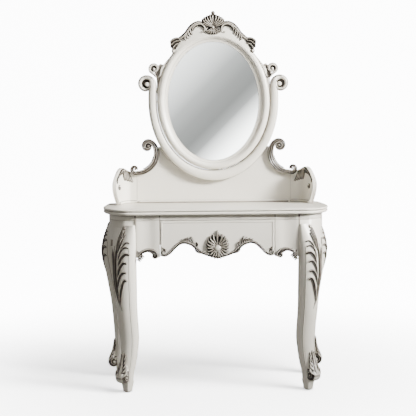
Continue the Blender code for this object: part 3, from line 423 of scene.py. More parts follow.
def band(piece, place, path, width, height, section, sink=0.0015, turn=1.0, lift=0.0):
    """Carved band: a section swept along a path on a chart, as wide and high as its short lists
    say. A turn of -1 swaps the section's sides, and its hidden back is sunk below the face."""
    count = len(path)
    across = left_of(path) * turn
    half = spaced(np.atleast_1d(width), count) / 2
    rise = spaced(np.atleast_1d(height), count)
    rise = rise * np.clip(half / (half.max() * 0.5), 0.25, 1.0)
    offsets, heights, tones = np.asarray(section).T
    u = path[:, 0:1] + across[:, 0:1] * half[:, None] * offsets
    v = path[:, 1:2] + across[:, 1:2] * half[:, None] * offsets
    h = rise[:, None] * heights + lift
    shade = np.broadcast_to(tones, u.shape)
    under = 0.92 * offsets[[-1, 0]]
    under_u = path[:, 0:1] + across[:, 0:1] * half[:, None] * under
    under_v = path[:, 1:2] + across[:, 1:2] * half[:, None] * under
    under_h = np.full(under_u.shape, -sink)
    u, v, h = np.hstack([u, under_u]), np.hstack([v, under_v]), np.hstack([h, under_h])
    shade = np.hstack([shade, np.full(under_u.shape, BACK_TONE)])
    piece.grid(place(u, v, h), shade)


def rings(piece, place, centre, radius, levels, count):
    """Round shell from levels of (share of the radius, height, tone)."""
    angle = np.linspace(0, 2 * np.pi, count, endpoint=False)
    rows, tones = [], []
    for share, h, tone in levels:
        u, v = polar(centre, radius * share, angle).T
        rows.append(place(u, v, np.full(count, h)))
        tones.append(np.full(count, tone))
    piece.grid(rows, tones)


def eye(piece, place, centre, radius, height, sink=0.0015, tones=(0.1, 0.35, 0.8, 1.0)):
    """Domed bead, mostly at the heart of a volute."""
    levels = ((0.92, -sink, BACK_TONE), (1.0, -sink, tones[0]), (1.0, height * 0.35, tones[1]),
              (0.82, height * 0.8, tones[2]), (0.45, height, tones[3]))
    rings(piece, place, centre, radius, levels, 28)


def plug(piece, place, centre, radius, height, tone):
    """Flat sunk floor inside a volute."""
    levels = ((0.92, 0.0, BACK_TONE), (1.0, 0.0, 0.5), (1.0, height, tone), (0.2, height, tone))
    rings(piece, place, centre, radius, levels, 32)


def outlined(piece, place, path, width, height, section, margin, turn=1.0):
    """Band on a thin dark ground that shows beside it."""
    band(piece, place, path, np.array(width) + margin, 0.0009, GROUND)
    band(piece, place, path, width, height, section, turn=turn)


def board(piece, outline, y_front, y_back, ease=0.0015, tone=1.0, edge_tone=0.9):
    """Flat board cut to an (x, z) outline, with its arrises eased."""
    outline = np.asarray(outline, float)
    nxt = np.roll(outline, -1, axis=0)
    area = np.sum(outline[:, 0] * nxt[:, 1] - nxt[:, 0] * outline[:, 1])
    ahead = nxt - outline
    ahead /= np.linalg.norm(ahead, axis=1)[:, None] + 1e-12
    normal = np.stack([ahead[:, 1], -ahead[:, 0]], -1)
    normal = normal + np.roll(normal, 1, axis=0)
    normal /= np.linalg.norm(normal, axis=1)[:, None] + 1e-9
    inset = outline - normal * (1 if area > 0 else -1) * ease
    levels = ((inset, y_back, edge_tone), (outline, y_back - ease, edge_tone),
              (outline, y_front + ease, edge_tone), (inset, y_front, tone))
    rows = [np.stack([flat[:, 0], np.full(len(flat), y), flat[:, 1]], -1) for flat, y, _ in levels]
    shade = [np.full(len(outline), t) for _, _, t in levels]
    piece.grid(rows, shade)


# ------------------------------------------------------------------ table top


def corner(angle, inset):
    """Front corner of the top, a superellipse, set in by inset."""
    half_x, half_y = TOP_HALF - CORNER_X - inset, CORNER_DEPTH - inset
    x = CORNER_X + half_x * np.sin(angle) ** (2.0 / 2.3)
    y = CORNER_Y - half_y * np.cos(angle) ** (2.0 / 2.3)
    return np.stack([x, y], -1)


def side_x(y, inset):
    """Half width of the top behind the corner, where it narrows a little to the back."""
    t = np.clip((y - CORNER_Y) / 0.195, 0, None)
    return TOP_HALF - inset - 0.012 * t**1.6


def full_plan(inset):
    """Outline of the top seen from above, set in by inset."""
    sweep = corner(np.radians(np.linspace(0, 90, 60)), inset)
    turn_y = TOP_BACK - inset - BACK_RADIUS
    y = np.linspace(CORNER_Y, turn_y, 18)[1:]
    side = np.stack([side_x(y, inset), y], -1)
    turn = np.radians(np.linspace(0, 90, 9))[1:]
    edge = side_x(turn_y, inset)
    round_back = np.stack([edge - BACK_RADIUS * (1 - np.cos(turn)),
                           turn_y + BACK_RADIUS * np.sin(turn)], -1)
    right = np.vstack([sweep, side, round_back])
    front = np.stack([np.linspace(-0.33, 0.33, 25), np.full(25, right[0, 1])], -1)
    return np.vstack([right, mirrored_x(right), front])


def make_table_top():
    """Slab with a thin upper lip, a quirk below it, and a full round under that."""
    # The first rows, on the underside, are painted shade under the overhang.
    profile = [(0.735, 0.015, 0.2), (0.7353, 0.0105, 0.3), (0.736, 0.0074, 0.7)]
    for k in range(11):
        angle = math.radians(-75 + 150 * k / 10)
        profile.append((0.743 + 0.0066 * math.sin(angle), 0.0078 - 0.0066 * math.cos(angle), 1.0))
    profile += [(0.7494, 0.0066, 0.75), (0.75, 0.007, 0.34), (0.7508, 0.0066, 0.42)]
    for k in range(9):
        angle = math.radians(-80 + 150 * k / 8)
        profile.append((0.7553 + 0.004 * math.sin(angle), 0.004 - 0.004 * math.cos(angle), 1.0))
    profile += [(0.7597, 0.0046, 1.0), (0.76, 0.0062, 1.0)]
    piece = Piece()
    rows, tones = [], []
    for z, inset, tone in profile:
        plan = full_plan(inset)
        rows.append(np.stack([plan[:, 0], plan[:, 1], np.full(len(plan), z)], -1))
        tones.append(np.full(len(plan), tone))
    piece.grid(rows, tones)
    piece.build("top_slab", "table", ["table_top"], sharp=50)


# ----------------------------------------------------------------------- legs

# Height, stand-out of the ridge, depth, half width, and power of the section.
FRONT_LEG = np.array((
    (0.036, -0.003, 0.019, 0.02, 2.6),
    (0.05, 0.0, 0.023, 0.024, 2.3),
    (0.08, 0.003, 0.027, 0.0275, 2.0),
    (0.12, 0.001, 0.032, 0.033, 1.9),
    (0.17, -0.001, 0.036, 0.037, 1.8),
    (0.23, 0.001, 0.0395, 0.0415, 1.8),
    (0.34, 0.0165, 0.042, 0.045, 1.8),
    (0.45, 0.0255, 0.043, 0.05, 1.9),
    (0.56, 0.027, 0.039, 0.054, 2.1),
    (0.62, 0.021, 0.033, 0.056, 2.2),
    (0.665, 0.009, 0.024, 0.055, 2.3),
    (0.695, -0.003, 0.014, 0.052, 2.4),
))
REAR_LEG = np.array((
    (0.036, -0.018, 0.019, 0.02, 2.6),
    (0.05, -0.015, 0.023, 0.024, 2.3),
    (0.08, -0.011, 0.027, 0.0275, 2.0),
    (0.12, -0.012, 0.032, 0.033, 1.9),
    (0.2, -0.01, 0.038, 0.039, 1.8),
    (0.33, 0.002, 0.041, 0.042, 1.8),
    (0.43, 0.019, 0.043, 0.044, 1.8),
    (0.54, 0.037, 0.047, 0.047, 1.9),
    (0.6, 0.032, 0.043, 0.049, 2.1),
    (0.665, 0.013, 0.03, 0.05, 2.4),
    (0.695, -0.006, 0.014, 0.048, 2.4),
))


class Leg:
    """Cabriole shaft: a superellipse section that changes with the height."""

    def __init__(self, table, face, heading):
        fine = curve(table, 600)
        self.z, self.rows = fine[:, 0], fine[:, 1:]
        self.face = np.array(face)
        angle = math.radians(heading)
        self.out = np.array([math.sin(angle), -math.cos(angle)])
        self.across = np.array([math.cos(angle), math.sin(angle)])

    def section(self, z):
        """Ridge, depth, half width and power at a height."""
        return [np.interp(z, self.z, self.rows[:, i]) for i in range(4)]

    def around(self, theta, z):
        """Points round the section."""
        ridge, depth, width, power = self.section(z)
        cos, sin = np.cos(theta), np.sin(theta)
        forward = np.sign(cos) * np.abs(cos) ** (2 / power) * depth + ridge - depth
        lateral = np.sign(sin) * np.abs(sin) ** (2 / power) * width
        return self.world(forward, lateral, z)

    def world(self, forward, lateral, z):
        """Points ahead of and beside the leg's face point, at a height."""
        flat = self.face + forward[..., None] * self.out + lateral[..., None] * self.across
        return np.concatenate([flat, np.broadcast_to(z, forward.shape)[..., None]], -1)

    def skin(self, u, z):
        """Outward face at a lateral offset u from the ridge."""
        ridge, depth, width, power = self.section(z)
        share = np.clip(np.abs(u) / width, 0, 0.97)
        return self.world((1 - share**power) ** (1 / power) * depth + ridge - depth, u, z)

    def chart(self, u, v, h):
        """Point at a height h off the face, beside the ridge by u and at the height v."""
        step = 0.0008
        here = self.skin(u, v)
        du = self.skin(u + step, v) - self.skin(u - step, v)
        dv = self.skin(u, v + step) - self.skin(u, v - step)
        normal = np.cross(du, dv)
        normal /= np.linalg.norm(normal, axis=-1, keepdims=True) + 1e-12
        return here + normal * h[..., None]


def leg_shaft(piece, leg):
    """Swept shaft from the toe up to the rails."""
    heights = np.linspace(SHAFT_FOOT, SHAFT_TOP, 170)
    theta = np.linspace(0, 2 * np.pi, 72, endpoint=False)
    rows = [leg.around(theta, np.full(theta.shape, z)) for z in heights]
    piece.grid(rows, 1.0)


def leg_pad(piece, leg):
    """Tapered square pad under the rolled toe, with painted shade darkening it at the floor."""
    ridge, depth, _, _ = leg.section(np.array(0.05))
    theta = np.linspace(0, 2 * np.pi, 48, endpoint=False)
    shape = np.maximum(np.abs(np.cos(theta)), np.abs(np.sin(theta))) ** -0.55
    rows, tones = [], []
    for z, half, tone in ((0.0032, 0.015, 0.45), (0.0045, 0.016, 0.8), (0.012, 0.0168, 1.0),
                          (0.024, 0.0183, 1.0), (0.034, 0.0205, 1.0), (0.046, 0.0225, 1.0)):
        forward = ridge - depth + half * shape * np.cos(theta)
        rows.append(leg.world(forward, half * shape * np.sin(theta), np.full(theta.shape, z)))
        tones.append(np.full(theta.shape, tone))
    piece.grid(rows, tones)


def toe_chart(leg, side, width, ridge):
    """Chart of a cheek of the toe: u runs out along the heading, v up."""

    def place(u, v, h):
        forward = ridge + u
        lateral = np.full(u.shape, side * width) + side * h
        return leg.world(forward, lateral, v)

    return place


def instep_swell(z):
    """How far the ankle sweeps out beyond the shaft on its way down to the toe."""
    return 0.027 * np.clip((0.165 - z) / 0.095, 0, 1) ** 1.9


def instep(piece, leg):
    """Tongue that sweeps from the ankle out over the rolled toe."""
    rows = []
    turn = np.linspace(-np.pi / 2, np.pi / 2, 28)
    for z in np.linspace(0.168, 0.062, 40):
        ridge = float(leg.section(np.array(z))[0]) + float(instep_swell(z))
        half = 0.012 + 0.0085 * float(np.clip((0.168 - z) / 0.07, 0, 1))
        reach = np.abs(np.cos(turn)) ** 0.62
        forward = ridge - 0.03 + 0.03 * reach
        rows.append(leg.world(forward, half * np.sin(turn), np.full(turn.shape, z)))
    piece.grid(rows, 1.0)


def leg_toe(piece, carving, leg):
    """Rolled toe; each cheek has a sunk floor, a spiral with a bead, and a flick over it."""
    ridge = float(leg.section(np.array(TOE_Z))[0]) + 0.006
    theta = np.linspace(0, 2 * np.pi, 48, endpoint=False)
    rows, tones = [], []
    half = ((0.008, 0.024, 1.0), (0.0165, 0.0228, 1.0), (0.019, 0.0195, 0.8), (0.0195, 0.015, 0.6))
    for lateral, radius, tone in [(-x, *rest) for x, *rest in half[::-1]] + list(half):
        forward = ridge + radius * np.cos(theta)
        z = TOE_Z + radius * np.sin(theta)
        flat = leg.face + forward[:, None] * leg.out + lateral * leg.across
        rows.append(np.concatenate([flat, z[:, None]], -1))
        shade = tone - 0.35 * np.clip(np.cos(theta * 6), 0, 1) * (np.cos(theta) > 0.2)
        tones.append(np.clip(shade, 0, 1))
    piece.grid(rows, tones)
    for side in (-1, 1):
        place = toe_chart(leg, side, 0.0192, ridge)
        plug(carving, place, (0.0, TOE_Z), 0.0205, 0.0012, 0.12)
        heart = (-0.002, TOE_Z)
        roll = spiral(heart, 150, -470, 0.0205, 0.005, 70)
        band(carving, place, roll, (0.004, 0.007, 0.0074, 0.0064, 0.004), 0.0052, LOBE, sink=0.003)
        eye(carving, place, heart, 0.0046, 0.0048, sink=0.003)
        flick = curve([(-0.026, 0.108), (-0.021, 0.096), (-0.012, 0.089), (0.002, 0.0885)], 30)
        band(carving, place, flick, (0.002, 0.0066, 0.008, 0.004), 0.0046, LOBE, sink=0.004)


def lobes(piece, place, strokes, turn=-1.0):
    """Comma lobes from (head, tail, width, height)."""
    for head, tail, width, height in strokes:
        path = comma(head, tail)
        sizes = np.array((0.55, 0.95, 1.0, 0.86, 0.62, 0.2)) * width
        heights = (0.7 * height, height, height, 0.8 * height, 0.5 * height, 0.0015)
        band(piece, place, path, sizes, heights, LOBE, sink=0.004, turn=turn)


def knee_leaf_front(piece, leg):
    """Half-acanthus of the front knee: feathered crown, long spine, lobes down one side."""
    place = leg.chart
    spine = curve([(-0.006, 0.672), (0.0, 0.6365), (0.007, 0.6), (0.014, 0.56), (0.0165, 0.522),
                   (0.017, 0.49), (0.0135, 0.45), (0.007, 0.42), (-0.001, 0.38), (-0.008, 0.3435)], 90)
    lobes(piece, place, (((-0.046, 0.624), (-0.006, 0.566), 0.0085, 0.0055),
                         ((-0.044, 0.604), (0.001, 0.552), 0.0095, 0.0058),
                         ((-0.046, 0.5765), (0.0, 0.517), 0.015, 0.0074),
                         ((-0.037, 0.541), (0.004, 0.474), 0.0145, 0.0074),
                         ((-0.034, 0.501), (0.005, 0.44), 0.0135, 0.007),
                         ((-0.034, 0.469), (-0.002, 0.366), 0.015, 0.0074)))
    for k in range(4):
        drop = 0.009 if k == 0 else 0.0
        feather = curve([(-0.026 + 0.006 * k, 0.666 + 0.004 * k - drop),
                         (-0.02 + 0.0062 * k, 0.646 + 0.003 * k), (-0.009 + 0.0052 * k, 0.618),
                         (0.003 + 0.0028 * k, 0.586 - 0.004 * k)], 34)
        band(piece, place, feather, (0.005, 0.008, 0.0074, 0.0022), (0.005, 0.0058, 0.0048, 0.002), LOBE,
             sink=0.004, turn=-1.0)
    eye(piece, place, (-0.0135, 0.683), 0.0082, 0.006, sink=0.004, tones=(0.08, 0.22, 0.45, 0.7))
    band(piece, place, spine, (0.004, 0.007, 0.01, 0.0115, 0.012, 0.0105, 0.008, 0.0016),
         (0.004, 0.006, 0.0074, 0.0078, 0.007, 0.0056, 0.004, 0.0016), VEIN, sink=0.004)
    outer = curve([(0.0235, 0.612), (0.029, 0.57), (0.032, 0.53), (0.03, 0.48), (0.022, 0.435),
                   (0.01, 0.395), (0.0, 0.36)], 70)
    band(piece, place, outer, (0.002, 0.005, 0.0085, 0.01, 0.009, 0.0055, 0.0014),
         (0.002, 0.0042, 0.0052, 0.0056, 0.0048, 0.0035, 0.0014), PETAL, sink=0.004, turn=-1.0)
    band(piece, place, outer[6:52] + (0.0115, 0.004), (0.0014, 0.005, 0.0066, 0.005, 0.0014), 0.0044, PETAL,
         sink=0.004, turn=-1.0)


def knee_leaf_rear(piece, leg):
    """Leaf of the rear knee: five lobes towards the front, three towards the back."""
    place = leg.chart
    lobes(piece, place, (((-0.034, 0.642), (-0.006, 0.606), 0.008, 0.005),
                         ((-0.036, 0.627), (-0.004, 0.588), 0.009, 0.0054),
                         ((-0.038, 0.604), (-0.002, 0.558), 0.0125, 0.0066),
                         ((-0.037, 0.574), (-0.001, 0.52), 0.0135, 0.0068),
                         ((-0.034, 0.538), (-0.003, 0.484), 0.0125, 0.0064)))
    lobes(piece, place, (((0.032, 0.62), (0.006, 0.58), 0.009, 0.005),
                         ((0.034, 0.586), (0.005, 0.54), 0.011, 0.0056),
                         ((0.03, 0.546), (0.003, 0.5), 0.0105, 0.0052)), turn=1.0)
    spine = curve([(-0.003, 0.668), (0.001, 0.64), (0.002, 0.6), (0.002, 0.55), (-0.001, 0.5),
                   (-0.003, 0.466)], 60)
    band(piece, place, spine, (0.004, 0.008, 0.0105, 0.0105, 0.008, 0.0016),
         (0.0035, 0.0055, 0.0064, 0.006, 0.0046, 0.0016), VEIN, sink=0.004)
    crown = curve([(-0.004, 0.686), (-0.003, 0.676), (-0.002, 0.664)], 24)
    band(piece, place, crown, (0.0044, 0.0074, 0.004), 0.005, LOBE, sink=0.004)


def foot_leaf(piece, leg, top):
    """Dark-grounded leaf that runs down the instep on to the toe."""

    def place(u, v, h):
        return leg.chart(u, v, h + instep_swell(v))

    stem = curve([(0.0, top + 0.004), (0.001, top - 0.03), (0.0, top - 0.062), (0.0, 0.076)], 60)
    band(piece, place, stem, (0.006, 0.015, 0.022, 0.026, 0.029, 0.031), 0.0018, GROUND, sink=0.004)
    band(piece, place, stem, (0.004, 0.008, 0.009, 0.011, 0.012), (0.0055, 0.0065, 0.0062, 0.0062, 0.006),
         ROUND, sink=0.004)
    for way in (-1, 1):
        for k in range(5):
            z = top - 0.008 - 0.0165 * k
            reach = 0.0105 + 0.0012 * k
            side = curve([(way * (reach + 0.001), z + 0.006), (way * reach, z - 0.004),
                          (way * 0.006, z - 0.02)], 24)
            band(piece, place, side, (0.004, 0.0074, 0.006, 0.0016), 0.0062, ROUND, sink=0.003, turn=way)


def edge_bead(piece, leg, low, high):
    """Fine bead down each edge of the leg, with painted shade where it meets the shaft."""
    z = np.linspace(high, low, 90)
    width = leg.section(z)[2]
    for way in (-1, 1):
        path = np.stack([way * width * 0.83, z], -1)
        band(piece, leg.chart, path, (0.003, 0.0044, 0.0044, 0.0044, 0.003), 0.0016,
             ((-1.0, 0.0, 0.45), (-0.6, 0.7, 0.9), (0.0, 1.0, 1.0), (0.6, 0.7, 0.9), (1.0, 0.0, 0.45)),
             sink=0.002)


def corner_post(piece, outer):
    """Curved block over the knee, from the shoulder up to the top."""
    depth = 0.032
    inner = outer + left_of(outer) * depth
    inner[:, 0] = np.maximum(inner[:, 0], PANEL_END + 0.0004)
    rows, tones = [], []
    # Painted shade: darker at the lower edge, in the line level with the drawer's top and at the top under
    # the slab.
    for z, ease, tone in ((0.6285, 0.002, 0.7), (0.63, 0.0, 1.0), (0.7115, 0.0, 1.0),
                          (0.7128, 0.0012, 0.55), (0.7142, 0.0, 1.0), (0.729, 0.0, 1.0),
                          (POST_TOP, 0.0, 0.6)):
        shift = (inner - outer) / depth * ease
        plan = np.vstack([outer + shift, inner[::-1]])
        rows.append(np.stack([plan[:, 0], plan[:, 1], np.full(len(plan), z)], -1))
        tones.append(np.repeat((tone, 1.0), len(outer)))
    piece.grid(rows, tones)


def front_post_plan():
    """Outer line of the front post, from the panel round the corner."""
    start = np.array([[PANEL_END + 0.0006, FACE_Y + 0.002], [0.338, FACE_Y + 0.0018]])
    return np.vstack([start, corner(np.radians(np.linspace(16, 66, 26)), OVERHANG)])


def rear_post_plan():
    """Outer line of the rear post."""
    y = np.linspace(0.092, 0.18, 14)
    side = np.stack([side_x(y, OVERHANG), y], -1)
    return np.vstack([side, [[side[-1, 0] - 0.004, 0.19]]])


def make_legs():
    """Front and rear pairs: shaft, pad, toe, post and carving."""
    front = Leg(FRONT_LEG, (0.39, -0.1745), 40)
    rear = Leg(REAR_LEG, (0.455, 0.145), 90)
    for name, leg, plan in (("front", front, front_post_plan()), ("rear", rear, rear_post_plan())):
        wood, carving = Piece(), Piece()
        leg_shaft(wood, leg)
        leg_pad(wood, leg)
        instep(wood, leg)
        leg_toe(wood, carving, leg)
        corner_post(wood, plan)
        if name == "front":
            knee_leaf_front(carving, leg)
        else:
            knee_leaf_rear(carving, leg)
        foot_leaf(carving, leg, 0.163)
        edge_bead(wood, leg, 0.06, 0.6)
        build_pair(wood, "cabriole_" + name, "table", "leg_" + name, sharp=50)
        build_pair(carving, "acanthus_" + name, "table", sharp=60, slot="glazed_carving", wiped=1.1)


# ---------------------------------------------------------------- apron front


def drawer_edge(count):
    """Scalloped lower edge of the drawer front, from its middle to the right."""
    knots = [(0.0, 0.555), (0.03, 0.562), (0.054, 0.57), (0.072, 0.579), (0.09, 0.595),
             (0.11, 0.6105), (0.137, 0.617), (0.16, 0.6095), (0.1815, 0.59), (0.197, 0.573),
             (0.2155, 0.5645), (DRAWER_HALF, 0.568)]
    return curve(knots, count)


def panel_edge():
    """Lower edge of the front panel, from the drawer to the leg."""
    start = DRAWER_HALF + 0.0015
    knots = [(start, 0.563), (0.25, 0.561), (0.265, 0.571), (0.28, 0.582), (0.3, 0.584),
             (0.318, 0.573), (PANEL_END, 0.559)]
    return curve(knots, 60)


def make_drawer_front():
    """Scalloped front with a thin moulding round its sides and top, and its carved scrolls."""
    lower = drawer_edge(160)
    outline = np.vstack([[(DRAWER_HALF, DRAWER_TOP), (-DRAWER_HALF, DRAWER_TOP)],
                         mirrored_x(lower), lower[1:]])
    piece = Piece()
    # The board's edges at 0.55 are painted shade in the gap round the drawer.
    board(piece, outline, FACE_Y, FACE_BACK_Y, 0.0012, 1.0, 0.55)
    place = on_plane(FACE_Y)
    edge = 0.0062
    field = [(-DRAWER_HALF + edge, 0.59), (-DRAWER_HALF + edge, DRAWER_TOP - edge),
             (DRAWER_HALF - edge, DRAWER_TOP - edge), (DRAWER_HALF - edge, 0.59)]
    for a, b in zip(field, field[1:]):
        path = resample(np.array([a, b]), 40)
        # The moulding round the field is darker at both feet: painted shade beside it.
        band(piece, place, path, 0.009, 0.0018,
             ((-1.0, 0.0, 0.62), (-0.8, 0.6, 0.85), (-0.3, 1.0, 1.0), (0.3, 1.0, 1.0), (0.75, 0.4, 0.9),
              (1.0, 0.0, 0.3)))
    piece.build("drawer_face", "drawer", ["drawer_front"], sharp=30)
    carving = Piece()
    drawer_scroll(carving)
    build_pair(carving, "drawer_carving", "drawer", "drawer_scroll", sharp=60, slot="glazed_carving",
               wiped=3.6)


def drawer_scroll(piece):
    """Moulded edge that swells, breaks into a leaf tuft and ends in a small volute."""
    place = on_plane(FACE_Y)
    lower = drawer_edge(240)
    run = lower[(lower[:, 0] > 0.036) & (lower[:, 0] < 0.206)] + (0, 0.0066)
    knots = ((0, -98, 0.0108), (0.35, -10, 0.01), (0.65, 75, 0.0078), (1.0, 190, 0.003))
    curl = coil((0.218, 0.583), knots, 44)
    path = resample(joined(run, curl), 190)
    band(piece, place, path,
         (0.009, 0.0125, 0.0135, 0.014, 0.014, 0.013, 0.013, 0.012, 0.01, 0.007, 0.0035),
         (0.0055, 0.0068, 0.0072, 0.0076, 0.0076, 0.0072, 0.007, 0.0066, 0.0062, 0.0055, 0.005), EDGE)
    hook = curve([(0.088, 0.623), (0.0835, 0.617), (0.085, 0.607), (0.0905, 0.596), (0.085, 0.585),
                  (0.072, 0.579), (0.056, 0.58)], 60)
    band(piece, place, hook, (0.006, 0.0095, 0.009, 0.0085, 0.0075, 0.006, 0.002), 0.0072, LOBE)
    for k in range(4):
        base = np.array([0.103 + 0.0085 * k, 0.612 + 0.003 * k])
        tip = base + (0.0075 + 0.0035 * k, 0.0345 - 0.0062 * k)
        stroke = curve([tip, tip + (-0.005, -0.004), base + (-0.0035, 0.01),
                        base + (0.004, -0.004)], 34)
        band(piece, place, stroke, (0.003, 0.0064, 0.0074, 0.003), 0.0076 - 0.0004 * k, PETAL, turn=-1.0)
    spur = curve([(0.227, 0.603), (0.2215, 0.599), (0.215, 0.5945), (0.2085, 0.593)], 30)
    band(piece, place, spur, (0.003, 0.0062, 0.0056, 0.002), 0.006, PETAL)


def paired(tips):
    """Tips at their own side, and again mirrored to the other unless they are in the middle."""
    return [(x * side, z, size) for x, z, size in tips for side in ((-1, 1) if x else (1,))]


def fan(piece, place, root, tips, width, height, lift=0.0):
    """Petals that bow sideways on their way from a root to each (x, z, size) tip."""
    sway = 0.1
    root = np.asarray(root, float)
    for x, z, size in tips:
        tip = np.array([x, z])
        run = tip - root
        side = np.array([-run[1], run[0]]) * sway * (1 if x <= 0 else -1) * min(1.0, abs(x) * 60)
        path = curve([root + run * 0.1, root + run * 0.4 + side * 0.5, root + run * 0.74 + side, tip], 40)
        turn = 1.0 if x < 0 else -1.0
        band(piece, place, path, np.array((0.3, 0.48, 0.74, 0.96, 1.0, 0.86, 0.36)) * width * size,
             np.array((0.55, 0.72, 0.86, 0.96, 1.0, 0.95, 0.6)) * height, PETAL, turn=turn, lift=lift)


def rosette_tips(heart, petals, size):
    """Tips of petals of (degrees from upright, reach), on both sides of the middle."""
    tips = []
    for degrees, reach in petals:
        for side in ((-1, 1) if 0 < degrees < 180 else (1,)):
            turned = math.radians(degrees) * side
            tips.append((reach * math.sin(turned), heart[1] + reach * math.cos(turned), size))
    return tips


def make_drawer_shell():
    """Rosette: eleven long petals above, nine shorter leaves below, and a pale domed heart."""
    piece = Piece()
    place = on_plane(FACE_Y)
    heart = (0.0, 0.601)
    angle = np.radians(np.linspace(0, 360, 72, endpoint=False))
    plate = 0.96 * (0.043 + 0.006 * np.cos(angle))
    rows = [place(reach * np.sin(angle), heart[1] + reach * np.cos(angle), np.full(72, h))
            for reach, h in ((plate, -0.001), (plate, 0.0022), (0.01, 0.004))]
    piece.grid(rows, np.array([[0.05], [0.05], [0.3]]))
    upper = ((0, 0.07), (17, 0.059), (34, 0.057), (52, 0.053), (71, 0.05), (89, 0.047))
    lower = ((180, 0.047), (163, 0.048), (146, 0.049), (128, 0.05), (109, 0.048))
    fan(piece, place, heart, rosette_tips(heart, lower, 0.92), 0.0135, 0.011)
    fan(piece, place, heart, rosette_tips(heart, upper, 1.0), 0.014, 0.0125)
    eye(piece, place, (0.0, 0.5985), 0.015, 0.0118, tones=(0.3, 0.62, 0.92, 1.0))
    piece.build("drawer_rosette", "drawer", ["drawer_shell"], sharp=70, slot="glazed_carving", wiped=2.4)


def make_front_panels():
    """Plain panels beside the drawer, hollowed a little in plan, with their carved scrolls."""
    lower = panel_edge()
    lower = np.vstack([lower[:1] - (0.0005, 0.0), lower[1:], lower[-1:] + (0.009, 0.014)])
    count = len(lower)
    share = np.linspace(0, 1, count)
    hollow = FACE_Y + 0.0048 * np.sin(np.pi * share) ** 2
    wood = Piece()
    rows, tones = [], []
    for k in range(count):
        x, z, y = lower[k, 0], lower[k, 1], hollow[k]
        column = [(x, y + 0.0012, z), (x, y, z + 0.0012)]
        column += [(x, y, z + (0.711 - z) * t) for t in (0.25, 0.5, 0.75)]
        column += [(x, y, 0.7118), (x, y + 0.001, 0.713), (x, y, 0.7142), (x, y, POST_TOP)]
        column += [(x, FACE_BACK_Y, POST_TOP), (x, FACE_BACK_Y, z)]
        rows.append(column)
        # Painted shade: the lower edge, both ends and the line level with the drawer's top are darker.
        edge = 0.45 if k in (0, count - 1) else 1.0
        tones.append([0.5, edge, edge, edge, edge, edge, 0.45, edge, edge, 1.0, 1.0])
    wood.grid(rows, tones)
    build_pair(wood, "front_panel", "table", "apron_panel", sharp=30)
    carving = Piece()
    apron_scroll(carving)
    build_pair(carving, "apron_carving", "table", "apron_scroll", sharp=60, slot="glazed_carving",
               wiped=3.6)


def apron_scroll(piece):
    """C-scroll that rolls up beside the drawer and runs down to the leg in a leaf."""
    place = on_plane(FACE_Y)
    knots = ((0, 95, 0.004), (0.35, -60, 0.008), (0.65, -150, 0.0105), (1.0, -212, 0.0118))
    curl = coil((0.259, 0.57), knots, 60)
    run = curve([(0.2492, 0.5765), (0.259, 0.5872), (0.276, 0.5925), (0.293, 0.5912), (0.308, 0.585),
                 (0.318, 0.5745), (0.3255, 0.562)], 90)
    path = resample(joined(curl, run), 160)
    band(piece, place, path, (0.004, 0.0085, 0.011, 0.013, 0.015, 0.0155, 0.0155, 0.015, 0.012, 0.006),
         (0.005, 0.0064, 0.0076, 0.0084, 0.0088, 0.0086, 0.0082, 0.0076, 0.0066, 0.005), EDGE)
    eye(piece, place, (0.259, 0.57), 0.004, 0.007, tones=(0.05, 0.15, 0.45, 0.8))
    for k in range(4):
        head = np.array([0.303 + 0.0052 * k, 0.566 - 0.006 * k])
        leaf = curve([head + (-0.003, -0.002), head, head + (0.006, 0.005), head + (0.015, 0.006)], 30)
        band(piece, place, leaf, (0.004, 0.0078, 0.0074, 0.002), 0.0076 - 0.0004 * k, PETAL)
    bead = curve([(0.3265, 0.59), (0.324, 0.585), (0.3225, 0.579)], 20)
    band(piece, place, bead, (0.0024, 0.0052, 0.002), 0.005, PETAL)


def make_plain_apron():
    """Rail over the drawer, bowed ends and the arched back rail."""
    low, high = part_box("top_rail_front")
    piece = Piece()
    outline = [(low.x, low.z), (high.x, low.z), (high.x, high.z), (low.x, high.z)]
    # The rail's edges at 0.6 are painted shade under the top and above the drawer.
    board(piece, outline, low.y, high.y, 0.0012, 1.0, 0.6)
    piece.build("rail_over_drawer", "table", ["top_rail_front"], sharp=30)
    start = corner(np.radians(np.array([66.0])), OVERHANG)[0]
    sweep = corner(np.radians(np.linspace(67, 90, 14)), OVERHANG)
    y = np.linspace(0.03, 0.0886, 12)
    plan = np.vstack([[start + (0, 0.0006)], sweep, np.stack([side_x(y, OVERHANG), y], -1)])
    length = plan[-1, 1] - plan[0, 1]
    rows = []
    for x, y in plan:
        foot = 0.6 + 0.02 * math.sin(math.pi * (y - plan[0, 1]) / length)
        rows.append([(x - 0.0015, y, foot), (x, y, foot + 0.0015), (x, y, 0.7118), (x - 0.001, y, 0.713),
                     (x, y, 0.7142), (x, y, POST_TOP), (x - 0.02, y, POST_TOP), (x - 0.02, y, foot)])
    piece = Piece()
    # Painted shade: darker at the lower edge and in the line level with the drawer's top.
    piece.grid(rows, [[0.6, 1, 1, 0.8, 1, 1, 1, 1]] * len(rows))
    build_pair(piece, "end_rail", "table", "apron_end", sharp=30)
    half = 0.34
    arch_x = [half * math.cos(a) for a in np.linspace(math.pi, 0, 60)]
    arch = [(x, 0.6 + 0.03 * math.sin(math.pi * (x + half) / (2 * half))) for x in arch_x]
    outline = [(-0.396, POST_TOP), (-0.396, 0.6)] + arch + [(0.396, 0.6), (0.396, POST_TOP)]
    piece = Piece()
    board(piece, outline, 0.1705, 0.1885, 0.0015)
    piece.build("back_rail", "table", ["apron_rear"], sharp=30)


# -------------------------------------------------------------------- gallery


LOWER_VOLUTE = (0.347, 0.9095)


